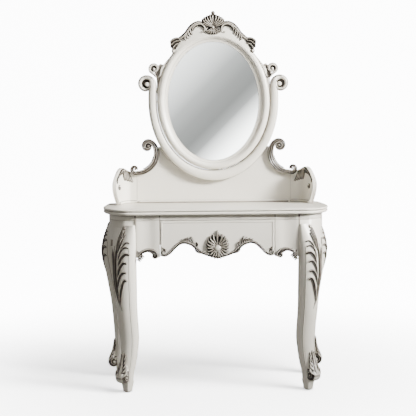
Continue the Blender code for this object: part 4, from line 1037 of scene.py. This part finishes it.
def scroll_path():
    """Upper volute, stem and lower volute of the gallery scroll."""
    knots = ((0.0, -195, 0.0095), (0.3, -120, 0.014), (0.6, -20, 0.0195), (1.0, 125, 0.0205))
    upper = coil((0.289, 1.013), knots, 80)
    stem = curve([tuple(upper[-1]), (0.266, 1.021), (0.256, 1.002), (0.253, 0.974), (0.26, 0.944),
                  (0.279, 0.918), (0.308, 0.899), (0.34, 0.893)], 120)
    lower = coil(LOWER_VOLUTE, ((0.0, -110, 0.0175), (0.5, 25, 0.014), (1.0, 190, 0.007)), 50)
    return upper, stem, lower


def make_gallery_scrolls():
    """Scrolls at the ends of the gallery, with a comb of teeth in the hollow of the stem."""
    upper, stem, lower = scroll_path()
    path = resample(joined(upper, stem, lower), 280)
    piece = Piece()
    place = on_plane(BOARD_Y[0] - 0.0004)
    width = (0.008, 0.015, 0.0185, 0.0205, 0.0225, 0.024, 0.025)
    band(piece, place, path, width + (0.025, 0.024, 0.0225, 0.02, 0.018, 0.015, 0.008), 0.018,
         deep(TRIPLE), sink=0.0)
    heart = (0.2885, 1.012)
    plug(piece, place, heart, 0.015, 0.01, 0.05)
    eye(piece, place, heart, 0.008, 0.0165, sink=0.0, tones=(0.02, 0.05, 0.35, 0.85))
    eye(piece, place, LOWER_VOLUTE, 0.005, 0.016, sink=0.0, tones=(0.02, 0.05, 0.3, 0.7))
    inner = stem[46:104]
    for k in range(9):
        here = inner[6 * k]
        ahead = inner[6 * k + 3] - here
        ahead /= np.linalg.norm(ahead)
        out = np.array([-ahead[1], ahead[0]])
        tooth = curve([here + out * 0.0075, here + out * 0.0125 + ahead * 0.001,
                       here + out * 0.015 + ahead * 0.0058], 18)
        band(piece, place, tooth, (0.005, 0.0058, 0.003), 0.0135, deep(PETAL), sink=0.0)
    build_pair(piece, "gallery_carving", "table", "gallery_scroll", sharp=60, slot="glazed_carving",
               wiped=4.2)


def gallery_outline():
    """Board that follows the scrolls at its ends and is cut out round the oval."""
    stem = scroll_path()[1]
    edge = [(0.3395, TOP_Z + 0.0004), (0.3395, 0.883)]
    for x, z in stem[::-1][6:]:
        if x < 0.33 and z < 1.008:
            edge.append((x - 0.005, z - 0.002))
    angle = np.radians(np.linspace(-36, -90, 40))
    cut = np.stack([0.264 * np.cos(angle), MIRROR_Z + 0.322 * np.sin(angle)], -1)
    right = np.vstack([edge, cut])
    return np.vstack([right, mirrored_x(right)[1:]])


def make_gallery_board():
    """Splash board and the small moulding along its foot."""
    piece = Piece()
    board(piece, gallery_outline(), *BOARD_Y, 0.001)
    piece.build("gallery_panel", "table", ["gallery_board"], sharp=30)
    low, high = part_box("gallery_foot_moulding")
    piece = Piece()
    profile = [(low.y, low.z), (low.y, high.z - 0.0045), (low.y + 0.0012, high.z - 0.0022),
               (low.y + 0.0034, high.z - 0.0006), (high.y, high.z), (high.y, low.z)]
    rows = [[(x, y, z) for y, z in profile] for x in np.linspace(low.x, high.x, 30)]
    # Painted shade: darker where the moulding meets the top and the board.
    piece.grid(rows, [[0.35, 0.9, 1.0, 0.9, 0.4, 1.0]] * 30)
    piece.build("gallery_fillet", "table", ["gallery_foot_moulding"], sharp=35)


def wing_plan(count):
    """Plan of a wing's inner face: straight off the board, then a quarter of an ellipse."""
    angle = np.radians(np.linspace(0, 90, count))
    arc = np.stack([0.366 + 0.042 * np.sin(angle), 0.07 + 0.1172 * np.cos(angle)], -1)
    return resample(np.vstack([[(0.34, BOARD_Y[0])], arc]), count)


def wing_top(t):
    """Height of a wing at a share of its length from the back."""
    knots = np.array([(0.0, 0.884), (0.25, 0.905), (0.5, 0.918), (0.75, 0.908), (0.92, 0.88), (1.0, 0.852)])
    fine = curve(knots, 200)
    return np.interp(t, fine[:, 0], fine[:, 1])


WING_PLAN = wing_plan(200)
WING_LENGTH = float(np.sum(np.linalg.norm(np.diff(WING_PLAN, axis=0), axis=1)))


def wing_chart(u, v, h):
    """Inner face of a wing: u metres along its plan from the back, v the height."""
    t = np.clip(u / WING_LENGTH, 0, 1)
    at = t * 199
    x = np.interp(at, np.arange(200), WING_PLAN[:, 0])
    y = np.interp(at, np.arange(200), WING_PLAN[:, 1])
    tangent = np.gradient(WING_PLAN, axis=0)
    tangent /= np.linalg.norm(tangent, axis=1)[:, None]
    tx = np.interp(at, np.arange(200), tangent[:, 0])
    ty = np.interp(at, np.arange(200), tangent[:, 1])
    bulge = 0.018 * np.sin(np.pi * np.clip((v - TOP_Z) / 0.16, 0, 1)) * t**2
    return np.stack([x + ty * h + bulge, y - tx * h, v], -1)


def make_wings():
    """Curved wings: solid, bulging at the front, with a leaf scroll under the arch."""
    wood = Piece()
    rows, tones = [], []
    share = np.linspace(0, 1, 60)
    for t in share:
        top = float(wing_top(t))
        heights = np.r_[TOP_Z + 0.0004, np.linspace(0.768, top - 0.004, 14), top - 0.0012]
        u = np.full(len(heights), t * WING_LENGTH)
        inner = wing_chart(u, heights, np.zeros(len(heights)))
        outer = wing_chart(u, heights, np.full(len(heights), -0.0175))
        crest = wing_chart(np.full(2, t * WING_LENGTH), np.full(2, top), np.array([-0.002, -0.0155]))
        rows.append(np.vstack([inner, crest, outer[::-1]]))
        # Painted shade: both faces are darker at the foot on the top, and the back end is darker against
        # the board.
        edge = 0.8 if t == 0.0 else 1.0
        tones.append(np.r_[0.5, np.full(len(inner) - 1, edge), np.ones(len(outer) + 1), 0.6])
    wood.grid(rows, tones)
    foot = np.stack([np.linspace(0.002, WING_LENGTH - 0.002, 60), np.full(60, 0.7668)], -1)
    # The foot moulding's edges are darkened: painted shade in the creases.
    band(wood, wing_chart, foot, 0.011, 0.0042,
         ((-1.0, 0.0, 0.25), (-0.9, 0.7, 0.9), (-0.5, 1.0, 1.0), (0.4, 1.0, 1.0), (0.8, 0.7, 0.6),
          (1.0, 0.0, 0.04)))
    build_pair(wood, "wing", "table", "gallery_wing", sharp=35)
    carving = Piece()
    wing_carving(carving)
    build_pair(carving, "wing_leaf", "table", sharp=60, slot="glazed_carving", wiped=3.4)


def wing_carving(piece):
    """Broad leaf rim under the arch, a comb of strokes behind it and a small volute in front."""
    rim = np.linspace(0.034, WING_LENGTH - 0.008, 90)
    top = wing_top(rim / WING_LENGTH)
    drop = 0.0125 + 0.003 * np.sin(np.linspace(0, np.pi, 90))
    outlined(piece, wing_chart, np.stack([rim, top - drop], -1),
             (0.01, 0.018, 0.021, 0.021, 0.017, 0.008),
             (0.004, 0.0054, 0.0058, 0.0058, 0.0052, 0.004), LOBE, 0.005, turn=-1.0)
    for k in range(5):
        u = 0.03 + 0.0105 * k
        top_z = float(wing_top(u / WING_LENGTH)) - 0.01
        stroke = curve([(u + 0.006, top_z), (u + 0.0035, top_z - 0.012),
                        (u - 0.004, top_z - 0.028 - 0.001 * k), (u - 0.012, top_z - 0.038 - 0.002 * k)], 30)
        outlined(piece, wing_chart, stroke, (0.0074, 0.0096, 0.009, 0.0034),
                 (0.005, 0.0056, 0.0046, 0.002), ROUND, 0.004)
    tail = curve([(WING_LENGTH - 0.016, 0.88), (WING_LENGTH - 0.01, 0.864),
                  (WING_LENGTH - 0.011, 0.85)], 24)
    band(piece, wing_chart, tail, (0.01, 0.0085, 0.002), 0.0052, LOBE, turn=-1.0)
    centre = (WING_LENGTH - 0.042, 0.833)
    roll = coil(centre, ((0, 120, 0.01), (0.4, 0, 0.0085), (0.7, -110, 0.007), (1.0, -260, 0.003)), 60)
    band(piece, wing_chart, roll, (0.003, 0.007, 0.0072, 0.006, 0.004), 0.0052, LOBE, turn=-1.0)
    eye(piece, wing_chart, centre, 0.0036, 0.0046, tones=(0.03, 0.08, 0.4, 0.85))


# --------------------------------------------------------------------- mirror


def oval(half_x, half_z, degrees):
    """Points of an ellipse round the middle of the glass."""
    angle = np.radians(degrees)
    return np.stack([half_x * np.cos(angle), MIRROR_Z + half_z * np.sin(angle)], -1)


def make_mirror_ring():
    """Moulded oval: a round outer slope, a long fall to the glass and a dark sight line."""
    slope = curve([(0.0, -0.007), (0.002, -0.012), (0.007, -0.017), (0.013, -0.0197),
                   (0.019, -0.02), (0.024, -0.018), (0.03, -0.0135), (0.036, -0.0098),
                   (0.0415, -0.008), (0.0448, -0.0076)], 44)
    section = [(0.0, 0.015, 1.0), (0.0, -0.006, 0.6)]
    for inset, y in slope:
        line = math.exp(-(((inset - 0.0325) / 0.0007) ** 2))
        # edge darkens the outer rim: painted shade where the ring meets the yoke.
        edge = math.exp(-((inset / 0.0018) ** 2))
        section.append((inset, y + 0.0006 * line, 1.0 - 0.38 * line - 0.55 * edge))
    # The lip over the glass is dark: painted shade at the glass edge.
    section += [(0.0452, -0.007, 0.22), (0.0457, -0.0045, 0.04), (0.0457, -0.002, 0.02),
                (0.0398, -0.002, 0.4), (0.0398, 0.015, 0.9)]
    rows = []
    for a in np.linspace(0, 2 * np.pi, 192, endpoint=False):
        rows.append([((RING_A - inset * 1.07) * math.cos(a), MIRROR_Y + y,
                      MIRROR_Z + (RING_B - inset * 0.93) * math.sin(a)) for inset, y, _ in section])
    piece = Piece()
    piece.grid(rows, [[tone for _, _, tone in section]] * 192, wrap_rows=True)
    piece.build("oval_moulding", "mirror", ["mirror_frame"], sharp=48)


def make_glass():
    """Silvered plate with a ground bevel round its edge."""
    angle = np.linspace(0, 2 * np.pi, 160, endpoint=False)
    rows = []
    for inset, y in ((0.0, 0.0024), (0.0, 0.0004), (0.003, -0.0014), (0.0034, -0.0016)):
        x = (0.2044 - inset) * np.cos(angle)
        z = MIRROR_Z + (0.264 - inset) * np.sin(angle)
        rows.append(np.stack([x, np.full(len(angle), MIRROR_Y + y), z], -1))
    piece = Piece()
    piece.grid(rows, 1.0)
    piece.build("oval_glass", "mirror", ["mirror_glass"], mat=MIRROR, sharp=1.0, slot="mirror_silver")


def crest_silhouette():
    """Right half of the head board's outline, from the top down."""
    upper = curve([(0.0, 1.566), (0.04, 1.556), (0.067, 1.558), (0.095, 1.541), (0.12, 1.515),
                   (0.14, 1.497), (0.166, 1.474)], 90)
    tips = np.array([(0.186, 1.462), (0.176, 1.418)])
    lower = curve([(0.198, 1.393), (0.216, 1.372), (0.229, 1.356), (0.2352, 1.34), (0.2352, 1.325),
                   (0.24, 1.312)], 50)
    return np.vstack([upper, tips, lower])


def make_head_board():
    """Sawn board behind the oval that laps over it at the top and carries the crest."""
    outer = crest_silhouette()
    angles = 22 + 68 * np.linspace(0, 1, 60)
    inner = oval(RING_A + 0.0004, RING_B + 0.0004, angles)
    inner = np.vstack([inner, mirrored_x(inner)[1:]])
    top = np.vstack([mirrored_x(outer)[:-1], outer])
    y0, y1 = MIRROR_Y - 0.013, MIRROR_Y + 0.008
    count = 180
    rows = []
    for (xo, zo), (xi, zi) in zip(resample(top, count), resample(inner[::-1], count)):
        size = math.hypot(xi - xo, zi - zo) + 1e-9
        ex, ez = (xi - xo) / size * 0.002, (zi - zo) / size * 0.002
        turn = math.degrees(math.atan2(zi - MIRROR_Z, abs(xi)))
        swell = min(1.0, max(0.0, (turn - 46.0) / 16.0))
        lap = swell * 0.0135
        over = (xi * (1.0 - lap / RING_A), y0 - 0.0069 * swell,
                MIRROR_Z + (zi - MIRROR_Z) * (1.0 - lap / RING_B))
        rise = (xi + (xo - xi) * 0.12, y0 - 0.005 * swell, zi + (zo - zi) * 0.12)
        foot = (xi + (xo - xi) * 0.4, y0 - 0.0008 * swell, zi + (zo - zi) * 0.4)
        rows.append([(xo, y1, zo), (xo, y0 + 0.002, zo), (xo + ex, y0, zo + ez), foot, rise, over,
                     (xi, y1, zi)])
    piece = Piece()
    piece.grid(rows, [[1.0, 0.45, 0.95, 1.0, 1.0, 1.0, 1.0]] * count)
    piece.build("crest_board", "mirror", ["mirror_head_board"], sharp=50)


def make_crest_fan(place):
    """Shell at the top: eleven petals above, seven shorter ones below, and two beads."""
    piece = Piece()
    root = (0.0, 1.527)
    plate = curve([(0.0, 1.59), (0.028, 1.578), (0.048, 1.564), (0.036, 1.545), (0.02, 1.53),
                   (0.032, 1.513), (0.016, 1.502), (0.0, 1.499)], 50)
    outline = np.vstack([plate, mirrored_x(plate)[1:-1]])
    rows = [place(outline[:, 0] * k, root[1] + (outline[:, 1] - root[1]) * k, np.full(len(outline), h))
            for k, h in ((1.0, -0.001), (1.0, 0.0035), (0.1, 0.006))]
    piece.grid(rows, np.array([[0.05], [0.05], [0.12]]))
    upper = ((0.0, 1.588, 1.0), (0.013, 1.586, 1.0), (0.0262, 1.5815, 1.0), (0.0385, 1.5745, 1.0),
             (0.048, 1.5665, 1.0), (0.047, 1.552, 0.7))
    lower = ((0.0, 1.498, 0.85), (0.013, 1.499, 0.85), (0.025, 1.504, 0.85), (0.035, 1.511, 0.85))
    fan(piece, place, root, paired(lower), 0.0128, 0.009, lift=0.0065)
    fan(piece, place, root, paired(upper), 0.0158, 0.015)
    eye(piece, place, (0.0, 1.5925), 0.0088, 0.0155, tones=(0.02, 0.08, 0.3, 0.75))
    eye(piece, place, (0.0, 1.529), 0.007, 0.0158, tones=(0.04, 0.2, 0.75, 1.0))
    piece.build("crest_fan", "mirror", ["crest_shell"], sharp=70, slot="glazed_carving", wiped=2.8)


def crest_scroll(piece, place):
    """Shoulder arch, the C-scroll under it and the comma strokes that hang below."""
    arch = curve([(0.044, 1.55), (0.056, 1.553), (0.07, 1.551), (0.088, 1.541), (0.104, 1.525),
                  (0.118, 1.506), (0.133, 1.49), (0.15, 1.478)], 110)
    band(piece, place, arch, (0.008, 0.013, 0.017, 0.0185, 0.0175, 0.016, 0.014, 0.01),
         (0.007, 0.009, 0.01, 0.0105, 0.0105, 0.01, 0.009, 0.007),
         ((-1.0, 0.0, 0.03), (-0.92, 0.5, 0.12), (-0.74, 0.84, 0.6), (-0.3, 1.0, 0.95), (0.1, 0.98, 0.86),
          (0.36, 0.84, 0.45), (0.56, 0.64, 0.1), (0.84, 0.4, 0.05), (1.0, 0.0, 0.03)))
    curl = curve([(0.048, 1.507), (0.04, 1.51), (0.0365, 1.519), (0.038, 1.531), (0.048, 1.542),
                  (0.063, 1.545), (0.078, 1.54), (0.089, 1.528), (0.09, 1.516)], 110)
    outlined(piece, place, curl, (0.006, 0.0095, 0.0112, 0.012, 0.013, 0.0135, 0.0128, 0.0105, 0.005),
             (0.007, 0.0095, 0.011, 0.012, 0.0125, 0.0125, 0.012, 0.0105, 0.007), ROUND, 0.009)
    eye(piece, place, (0.049, 1.509), 0.0046, 0.01, tones=(0.03, 0.1, 0.45, 0.8))
    for k, (x, z) in enumerate(((0.0985, 1.522), (0.1065, 1.513), (0.1145, 1.503), (0.123, 1.494))):
        stroke = curve([(x, z), (x + 0.001, z - 0.008), (x - 0.003, z - 0.018),
                        (x - 0.011, z - 0.0255 + 0.001 * k)], 34)
        outlined(piece, place, stroke, (0.0056, 0.0092, 0.0088, 0.003), (0.009, 0.011, 0.01, 0.006),
                 ROUND, 0.008)


def crest_tuft(piece, place):
    """Three curled leaf tips and a bead where the crest dies on to the oval."""
    for k, tip in enumerate(((0.1885, 1.465), (0.187, 1.45), (0.179, 1.434))):
        root = np.array([0.142, 1.48 - 0.01 * k])
        tip = np.asarray(tip)
        middle = (root + tip) / 2 + (0.0015, 0.0035)
        path = curve([root, middle, tip + (-0.006, 0.001), tip], 44)
        outlined(piece, place, path, (0.008, 0.015, 0.0165, 0.012), (0.008, 0.0098, 0.01, 0.008), LOBE,
                 0.005, turn=-1.0)
    eye(piece, place, (0.1735, 1.427), 0.0088, 0.01, tones=(0.03, 0.15, 0.7, 1.0))


def make_crest():
    """Shell, scrolls and tufts on the face of the head board."""
    place = on_plane(CREST_Y)
    make_crest_fan(place)
    scroll, leaf = Piece(), Piece()
    crest_scroll(scroll, place)
    crest_tuft(leaf, place)
    build_pair(scroll, "crest_carving", "mirror", "crest_scroll", sharp=60, slot="glazed_carving",
               wiped=3.0)
    build_pair(leaf, "crest_tuft", "mirror", "crest_leaf", sharp=60, slot="glazed_carving", wiped=3.0)


PALE_ROLL = ((-1.0, 0.0, 0.04), (-0.96, 0.55, 0.06), (-0.88, 0.8, 0.3), (-0.76, 0.92, 0.9),
             (-0.6, 0.96, 1.0), (-0.46, 0.9, 0.55), (-0.36, 0.88, 0.5), (-0.2, 0.96, 1.0),
             (0.15, 1.0, 1.0), (0.5, 0.95, 0.98), (0.76, 0.8, 0.7), (0.92, 0.6, 0.2), (1.0, 0.0, 0.05))


def make_ears():
    """Small scrolls on the shoulders of the oval, above the yoke's volutes."""
    place = on_plane(MIRROR_Y + 0.007)
    piece = Piece()
    centre = (0.26, 1.351)
    knots = ((0, -62, 0.019), (0.25, 10, 0.0185), (0.5, 90, 0.018), (0.75, 180, 0.016), (1.0, 300, 0.0095))
    roll = coil(centre, knots, 90)
    path = resample(joined(curve([(0.249, 1.313), (0.256, 1.322), tuple(roll[0])], 30), roll), 120)
    band(piece, place, path, (0.005, 0.01, 0.0125, 0.013, 0.013, 0.0125, 0.0115, 0.006), 0.0235,
         deep(PALE_ROLL), sink=0.0)
    plug(piece, place, centre, 0.015, 0.015, 0.0)
    heart = (centre[0], centre[1] - 0.002)
    eye(piece, place, heart, 0.0078, 0.0225, sink=0.0, tones=(0.03, 0.3, 0.95, 1.0))
    petal = curve([(0.237, 1.366), (0.241, 1.353), (0.248, 1.34), (0.2535, 1.326), (0.256, 1.314)], 50)
    band(piece, place, petal, (0.008, 0.015, 0.016, 0.012, 0.004), 0.0215, deep(PETAL), sink=0.0, turn=-1.0)
    eye(piece, place, (0.24, 1.36), 0.0066, 0.0225, sink=0.0, tones=(0.02, 0.15, 0.6, 0.9))
    web = [(0.212, 1.366), (0.233, 1.374), (0.246, 1.356), (0.253, 1.33), (0.25, 1.308),
           (0.2484, 1.286), (0.2482, 1.25), (0.248, 1.215), (0.24, 1.215), (0.228, 1.298),
           (0.214, 1.334)]
    # The web's tone of 0.8 is painted shade beside the ring.
    board(piece, web, MIRROR_Y - 0.005, MIRROR_Y + 0.006, tone=0.8)
    build_pair(piece, "ear_scroll", "mirror", "mirror_ear", sharp=60, slot="glazed_carving", wiped=1.8)


# Both sides of the yoke are darkened: painted shade where its outer side meets the board and its inner side
# meets the ring.
YOKE_SECTION = ((-1.0, 0.0, 0.1), (-1.0, 0.62, 0.12), (-0.96, 0.72, 0.4), (-0.88, 0.8, 0.95),
                (-0.7, 0.9, 1.0), (-0.45, 0.97, 1.0), (-0.15, 1.0, 1.0), (0.15, 0.99, 1.0),
                (0.45, 0.94, 1.0), (0.7, 0.86, 0.97), (0.88, 0.74, 0.9), (0.96, 0.64, 0.6),
                (1.0, 0.54, 0.25), (1.0, 0.0, 0.12))


def make_yoke():
    """U-shaped yoke whose arms roll outwards into volutes."""
    angle = np.linspace(-90, 0, 110)
    arc = oval(0.269, 0.3283, angle)
    turn = coil(VOLUTE, ((0.0, 190, 0.028), (0.25, 100, 0.0262), (0.5, 0, 0.0272), (0.68, -85, 0.028),
                         (0.82, -150, 0.02), (1.0, -245, 0.012)), 150)
    arm = curve([(0.269, MIRROR_Z), (0.2689, 1.232), (0.2682, 1.254), tuple(turn[0])], 50)
    path = joined(arc, arm, turn)
    inset = np.r_[np.full(150, 0.0014), np.linspace(0.0014, 0.0, 60), np.zeros(len(path) - 210)]
    path = path + np.stack([-inset, inset * (path[:, 1] < 1.0)], -1) * (1, 0.6)
    width = np.r_[0.0465 - 0.012 * np.cos(np.radians(angle)),
                  spaced((0.0345, 0.0345, 0.0335, 0.03), 50)[1:],
                  spaced((0.029, 0.0215, 0.019, 0.0178, 0.016, 0.0125, 0.008), 150)[1:]] + 2 * inset
    piece = Piece()
    place = on_plane(YOKE_Y[1])
    whole = np.vstack([mirrored_x(path)[:-1], path])
    widths = np.r_[width[::-1][:-1], width]
    band(piece, place, whole, widths, YOKE_Y[1] - YOKE_Y[0], YOKE_SECTION, sink=0.0)
    line = path[-len(turn):]
    share = np.linspace(0, 1, len(line))
    rim = line + left_of(line) * (0.3 * np.interp(share, (0, 0.4, 1.0), (0.02, 0.018, 0.01)))[:, None]
    groove = np.interp(share, (0, 0.15, 0.6, 1.0), (0.0008, 0.0022, 0.003, 0.0016))
    for side in (-1, 1):
        band(piece, on_plane(YOKE_Y[0] + 0.0016), rim * (side, 1), groove, 0.0012,
             ((-1.0, 0.0, 0.05), (-0.5, 0.8, 0.08), (0.0, 1.0, 0.12), (0.5, 0.8, 0.08), (1.0, 0.0, 0.05)),
             sink=0.001)
        plug(piece, place, (VOLUTE[0] * side, VOLUTE[1]), 0.021, 0.02, 0.0)
        eye(piece, place, ((VOLUTE[0] - 0.0045) * side, VOLUTE[1] - 0.005), 0.012, 0.031, sink=0.0,
            tones=(0.05, 0.3, 0.95, 1.0))
    piece.build("yoke_band", "table", ["mirror_yoke"], sharp=45)


# ------------------------------------------------------------- inner woodwork


def dress(nodes, mat):
    """A plain inner piece keeps its CAD shape, with eased edges and a real material."""
    for node in nodes:
        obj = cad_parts[node]
        obj.data.materials.clear()
        obj.data.materials.append(mat)
        bevel = obj.modifiers.new("eased_edges", "BEVEL")
        bevel.width = 0.0006
        bevel.segments = 2
        bevel.limit_method = "ANGLE"


def both(stem):
    """Names of a left and a right node."""
    return [stem + "_left", stem + "_right"]


def dress_inner_pieces():
    """Materials for the pieces that keep their CAD shape."""
    dress(both("drawer_side") + both("drawer_guide") + both("drawer_stop"), BEECH_Y)
    dress(["drawer_back"], BEECH_X)
    dress(["drawer_bottom", "mirror_backing"], PLY)
    dress(both("pivot_pin"), BRASS)
    dress(both("yoke_screw"), ZINC)
    dress(both("glide_front") + both("glide_rear"), NYLON)


# ---------------------------------------------------------------------- stage


def emission_card(name, size, location, rotation, strength, build_color):
    """A lit card that only reflections see."""
    mesh = bpy.data.meshes.new(name)
    w, h = size[0] / 2, size[1] / 2
    mesh.from_pydata([(-w, -h, 0), (w, -h, 0), (w, h, 0), (-w, h, 0)], [], [(0, 1, 2, 3)])
    card = bpy.data.objects.new(name, mesh)
    bpy.context.scene.collection.objects.link(card)
    card.location, card.rotation_euler = location, rotation
    mat = bpy.data.materials.new(name)
    mat.use_nodes = True
    nodes, links = mat.node_tree.nodes, mat.node_tree.links
    nodes.clear()
    out = nodes.new("ShaderNodeOutputMaterial")
    glow = nodes.new("ShaderNodeEmission")
    glow.inputs["Strength"].default_value = strength
    build_color(nodes, links, glow)
    links.new(glow.outputs["Emission"], out.inputs["Surface"])
    mesh.materials.append(mat)
    card.visible_camera = card.visible_diffuse = card.visible_shadow = False
    card.visible_transmission = card.visible_volume_scatter = False
    return card


def reflected_gradient(nodes, links, glow):
    """Soft room tones: pale above left, a grey diagonal band, white below right."""
    coords = nodes.new("ShaderNodeTexCoord")
    mapping = nodes.new("ShaderNodeMapping")
    mapping.inputs["Rotation"].default_value = (0, 0, math.radians(45))
    mapping.inputs["Scale"].default_value = (0.77, 0.77, 1)
    mapping.inputs["Location"].default_value = (0.5, 0.0, 0)
    links.new(coords.outputs["Object"], mapping.inputs["Vector"])
    split = nodes.new("ShaderNodeSeparateXYZ")
    links.new(mapping.outputs["Vector"], split.inputs["Vector"])
    stops = ((0.04, 0.4), (0.18, 0.29), (0.36, 0.125), (0.5, 0.08), (0.62, 0.066), (0.71, 0.105),
             (0.8, 0.4), (0.92, 0.95))
    tones = ramp(nodes, tuple((at, (0.97 * level, level, 0.985 * level)) for at, level in stops))
    links.new(split.outputs["X"], tones.inputs["Fac"])
    links.new(tones.outputs["Color"], glow.inputs["Color"])


def area_light(name, location, target, size, power, color=(1, 1, 1), spread=180):
    """Round soft light aimed at a target."""
    light = bpy.data.lights.new(name, "AREA")
    light.spread = math.radians(spread)
    light.shape, light.size, light.energy, light.color = "DISK", size, power, color
    obj = bpy.data.objects.new(name, light)
    obj.location = location
    obj.rotation_euler = (Vector(target) - Vector(location)).to_track_quat("-Z", "Y").to_euler()
    bpy.context.scene.collection.objects.link(obj)
    return obj


def studio_material():
    """Near-white paper whose glow rises with the distance from the object."""
    mat, nodes, links, shader = new_material("studio_paper")
    coords = nodes.new("ShaderNodeTexCoord")
    length = nodes.new("ShaderNodeVectorMath")
    length.operation = "LENGTH"
    links.new(coords.outputs["Object"], length.inputs[0])
    spread = nodes.new("ShaderNodeMapRange")
    spread.interpolation_type = "SMOOTHSTEP"
    spread.inputs["From Min"].default_value = 0.3
    spread.inputs["From Max"].default_value = 2.6
    spread.inputs["To Min"].default_value = 1.5
    spread.inputs["To Max"].default_value = 11.0
    links.new(length.outputs["Value"], spread.inputs["Value"])
    links.new(spread.outputs["Result"], shader.inputs["Emission Strength"])
    shader.inputs["Base Color"].default_value = (0.93, 0.93, 0.93, 1)
    shader.inputs["Roughness"].default_value = 0.9
    shader.inputs["Emission Color"].default_value = (0.985, 0.99, 1.0, 1)
    return mat


def make_floor():
    """Pale floor that curves up into a plain backdrop; only the camera sees it."""
    bend = np.radians(np.linspace(0, 90, 24))
    profile = [(-12.0, 0.0), (2.0, 0.0)]
    profile += [(2.0 + 4.0 * math.sin(a), 4.0 - 4.0 * math.cos(a)) for a in bend[1:]] + [(6.0, 14.0)]
    points = [(x, y, z) for y, z in profile for x in (-14.0, 14.0)]
    quads = [(2 * k, 2 * k + 1, 2 * k + 3, 2 * k + 2) for k in range(len(profile) - 1)]
    mesh = bpy.data.meshes.new("studio_floor")
    mesh.from_pydata(points, [], quads)
    mesh.shade_smooth()
    mesh.materials.append(studio_material())
    floor = bpy.data.objects.new("studio_floor", mesh)
    bpy.context.scene.collection.objects.link(floor)
    floor.visible_diffuse = floor.visible_glossy = floor.visible_shadow = False
    return floor


def floor_light(floor):
    """Broad overhead light for the floor alone, so that the legs cast a soft shadow."""
    group = bpy.data.collections.new("floor_only")
    group.objects.link(floor)
    light = area_light("floor_wash", (2.4, -1.6, 4.2), (0, 0.6, 0), 2.6, 1250)
    light.light_linking.receiver_collection = group


def make_stage():
    """Floor, soft light and the card that the glass reflects."""
    floor_light(make_floor())
    world = bpy.data.worlds.new("studio")
    world.use_nodes = True
    background = world.node_tree.nodes["Background"]
    background.inputs["Color"].default_value = (1.0, 0.972, 0.905, 1)
    background.inputs["Strength"].default_value = 0.3
    bpy.context.scene.world = world
    area_light("key", (4.2, -2.2, 2.8), (0, -0.1, 1.3), 1.4, 70, (1.0, 0.985, 0.95), spread=36)
    area_light("overhead", (1.0, -2.6, 3.8), (0, 0, 0.9), 1.6, 42)
    card = emission_card("mirror_room", (6.0, 6.0), (0.28, -7.6, 1.38), (math.radians(90), 0, 0), 8.0,
                         reflected_gradient)
    group = bpy.data.collections.new("glass_only")
    group.objects.link(bpy.data.objects["oval_glass"])
    card.light_linking.receiver_collection = group


def make_camera():
    """Long lens a little left of the middle, slightly turned and tilted, with its view shifted."""
    image_size = 416
    data = bpy.data.cameras.new("camera")
    data.sensor_width = 36.0
    data.lens = 1102.2 / image_size * data.sensor_width
    data.shift_y = -33.0 / image_size
    camera = bpy.data.objects.new("camera", data)
    camera.location = (-0.1748, -4.69, 1.099)
    camera.rotation_mode = "XYZ"
    yaw, pitch, roll = 0.03059, 0.04447, -0.00728
    facing = Vector((math.sin(yaw) * math.cos(pitch), math.cos(yaw) * math.cos(pitch), -math.sin(pitch)))
    turn = facing.to_track_quat("-Z", "Y")
    camera.rotation_euler = (turn @ Quaternion((0, 0, 1), roll)).to_euler()
    bpy.context.scene.collection.objects.link(camera)
    bpy.context.scene.camera = camera


def main():
    """The camera, the pieces in turn, and the stage."""
    make_camera()
    make_table_top()
    make_legs()
    make_drawer_front()
    make_drawer_shell()
    make_front_panels()
    make_plain_apron()
    make_gallery_board()
    make_gallery_scrolls()
    make_wings()
    make_mirror_ring()
    make_glass()
    make_head_board()
    make_crest()
    make_ears()
    make_yoke()
    dress_inner_pieces()
    make_stage()


main()
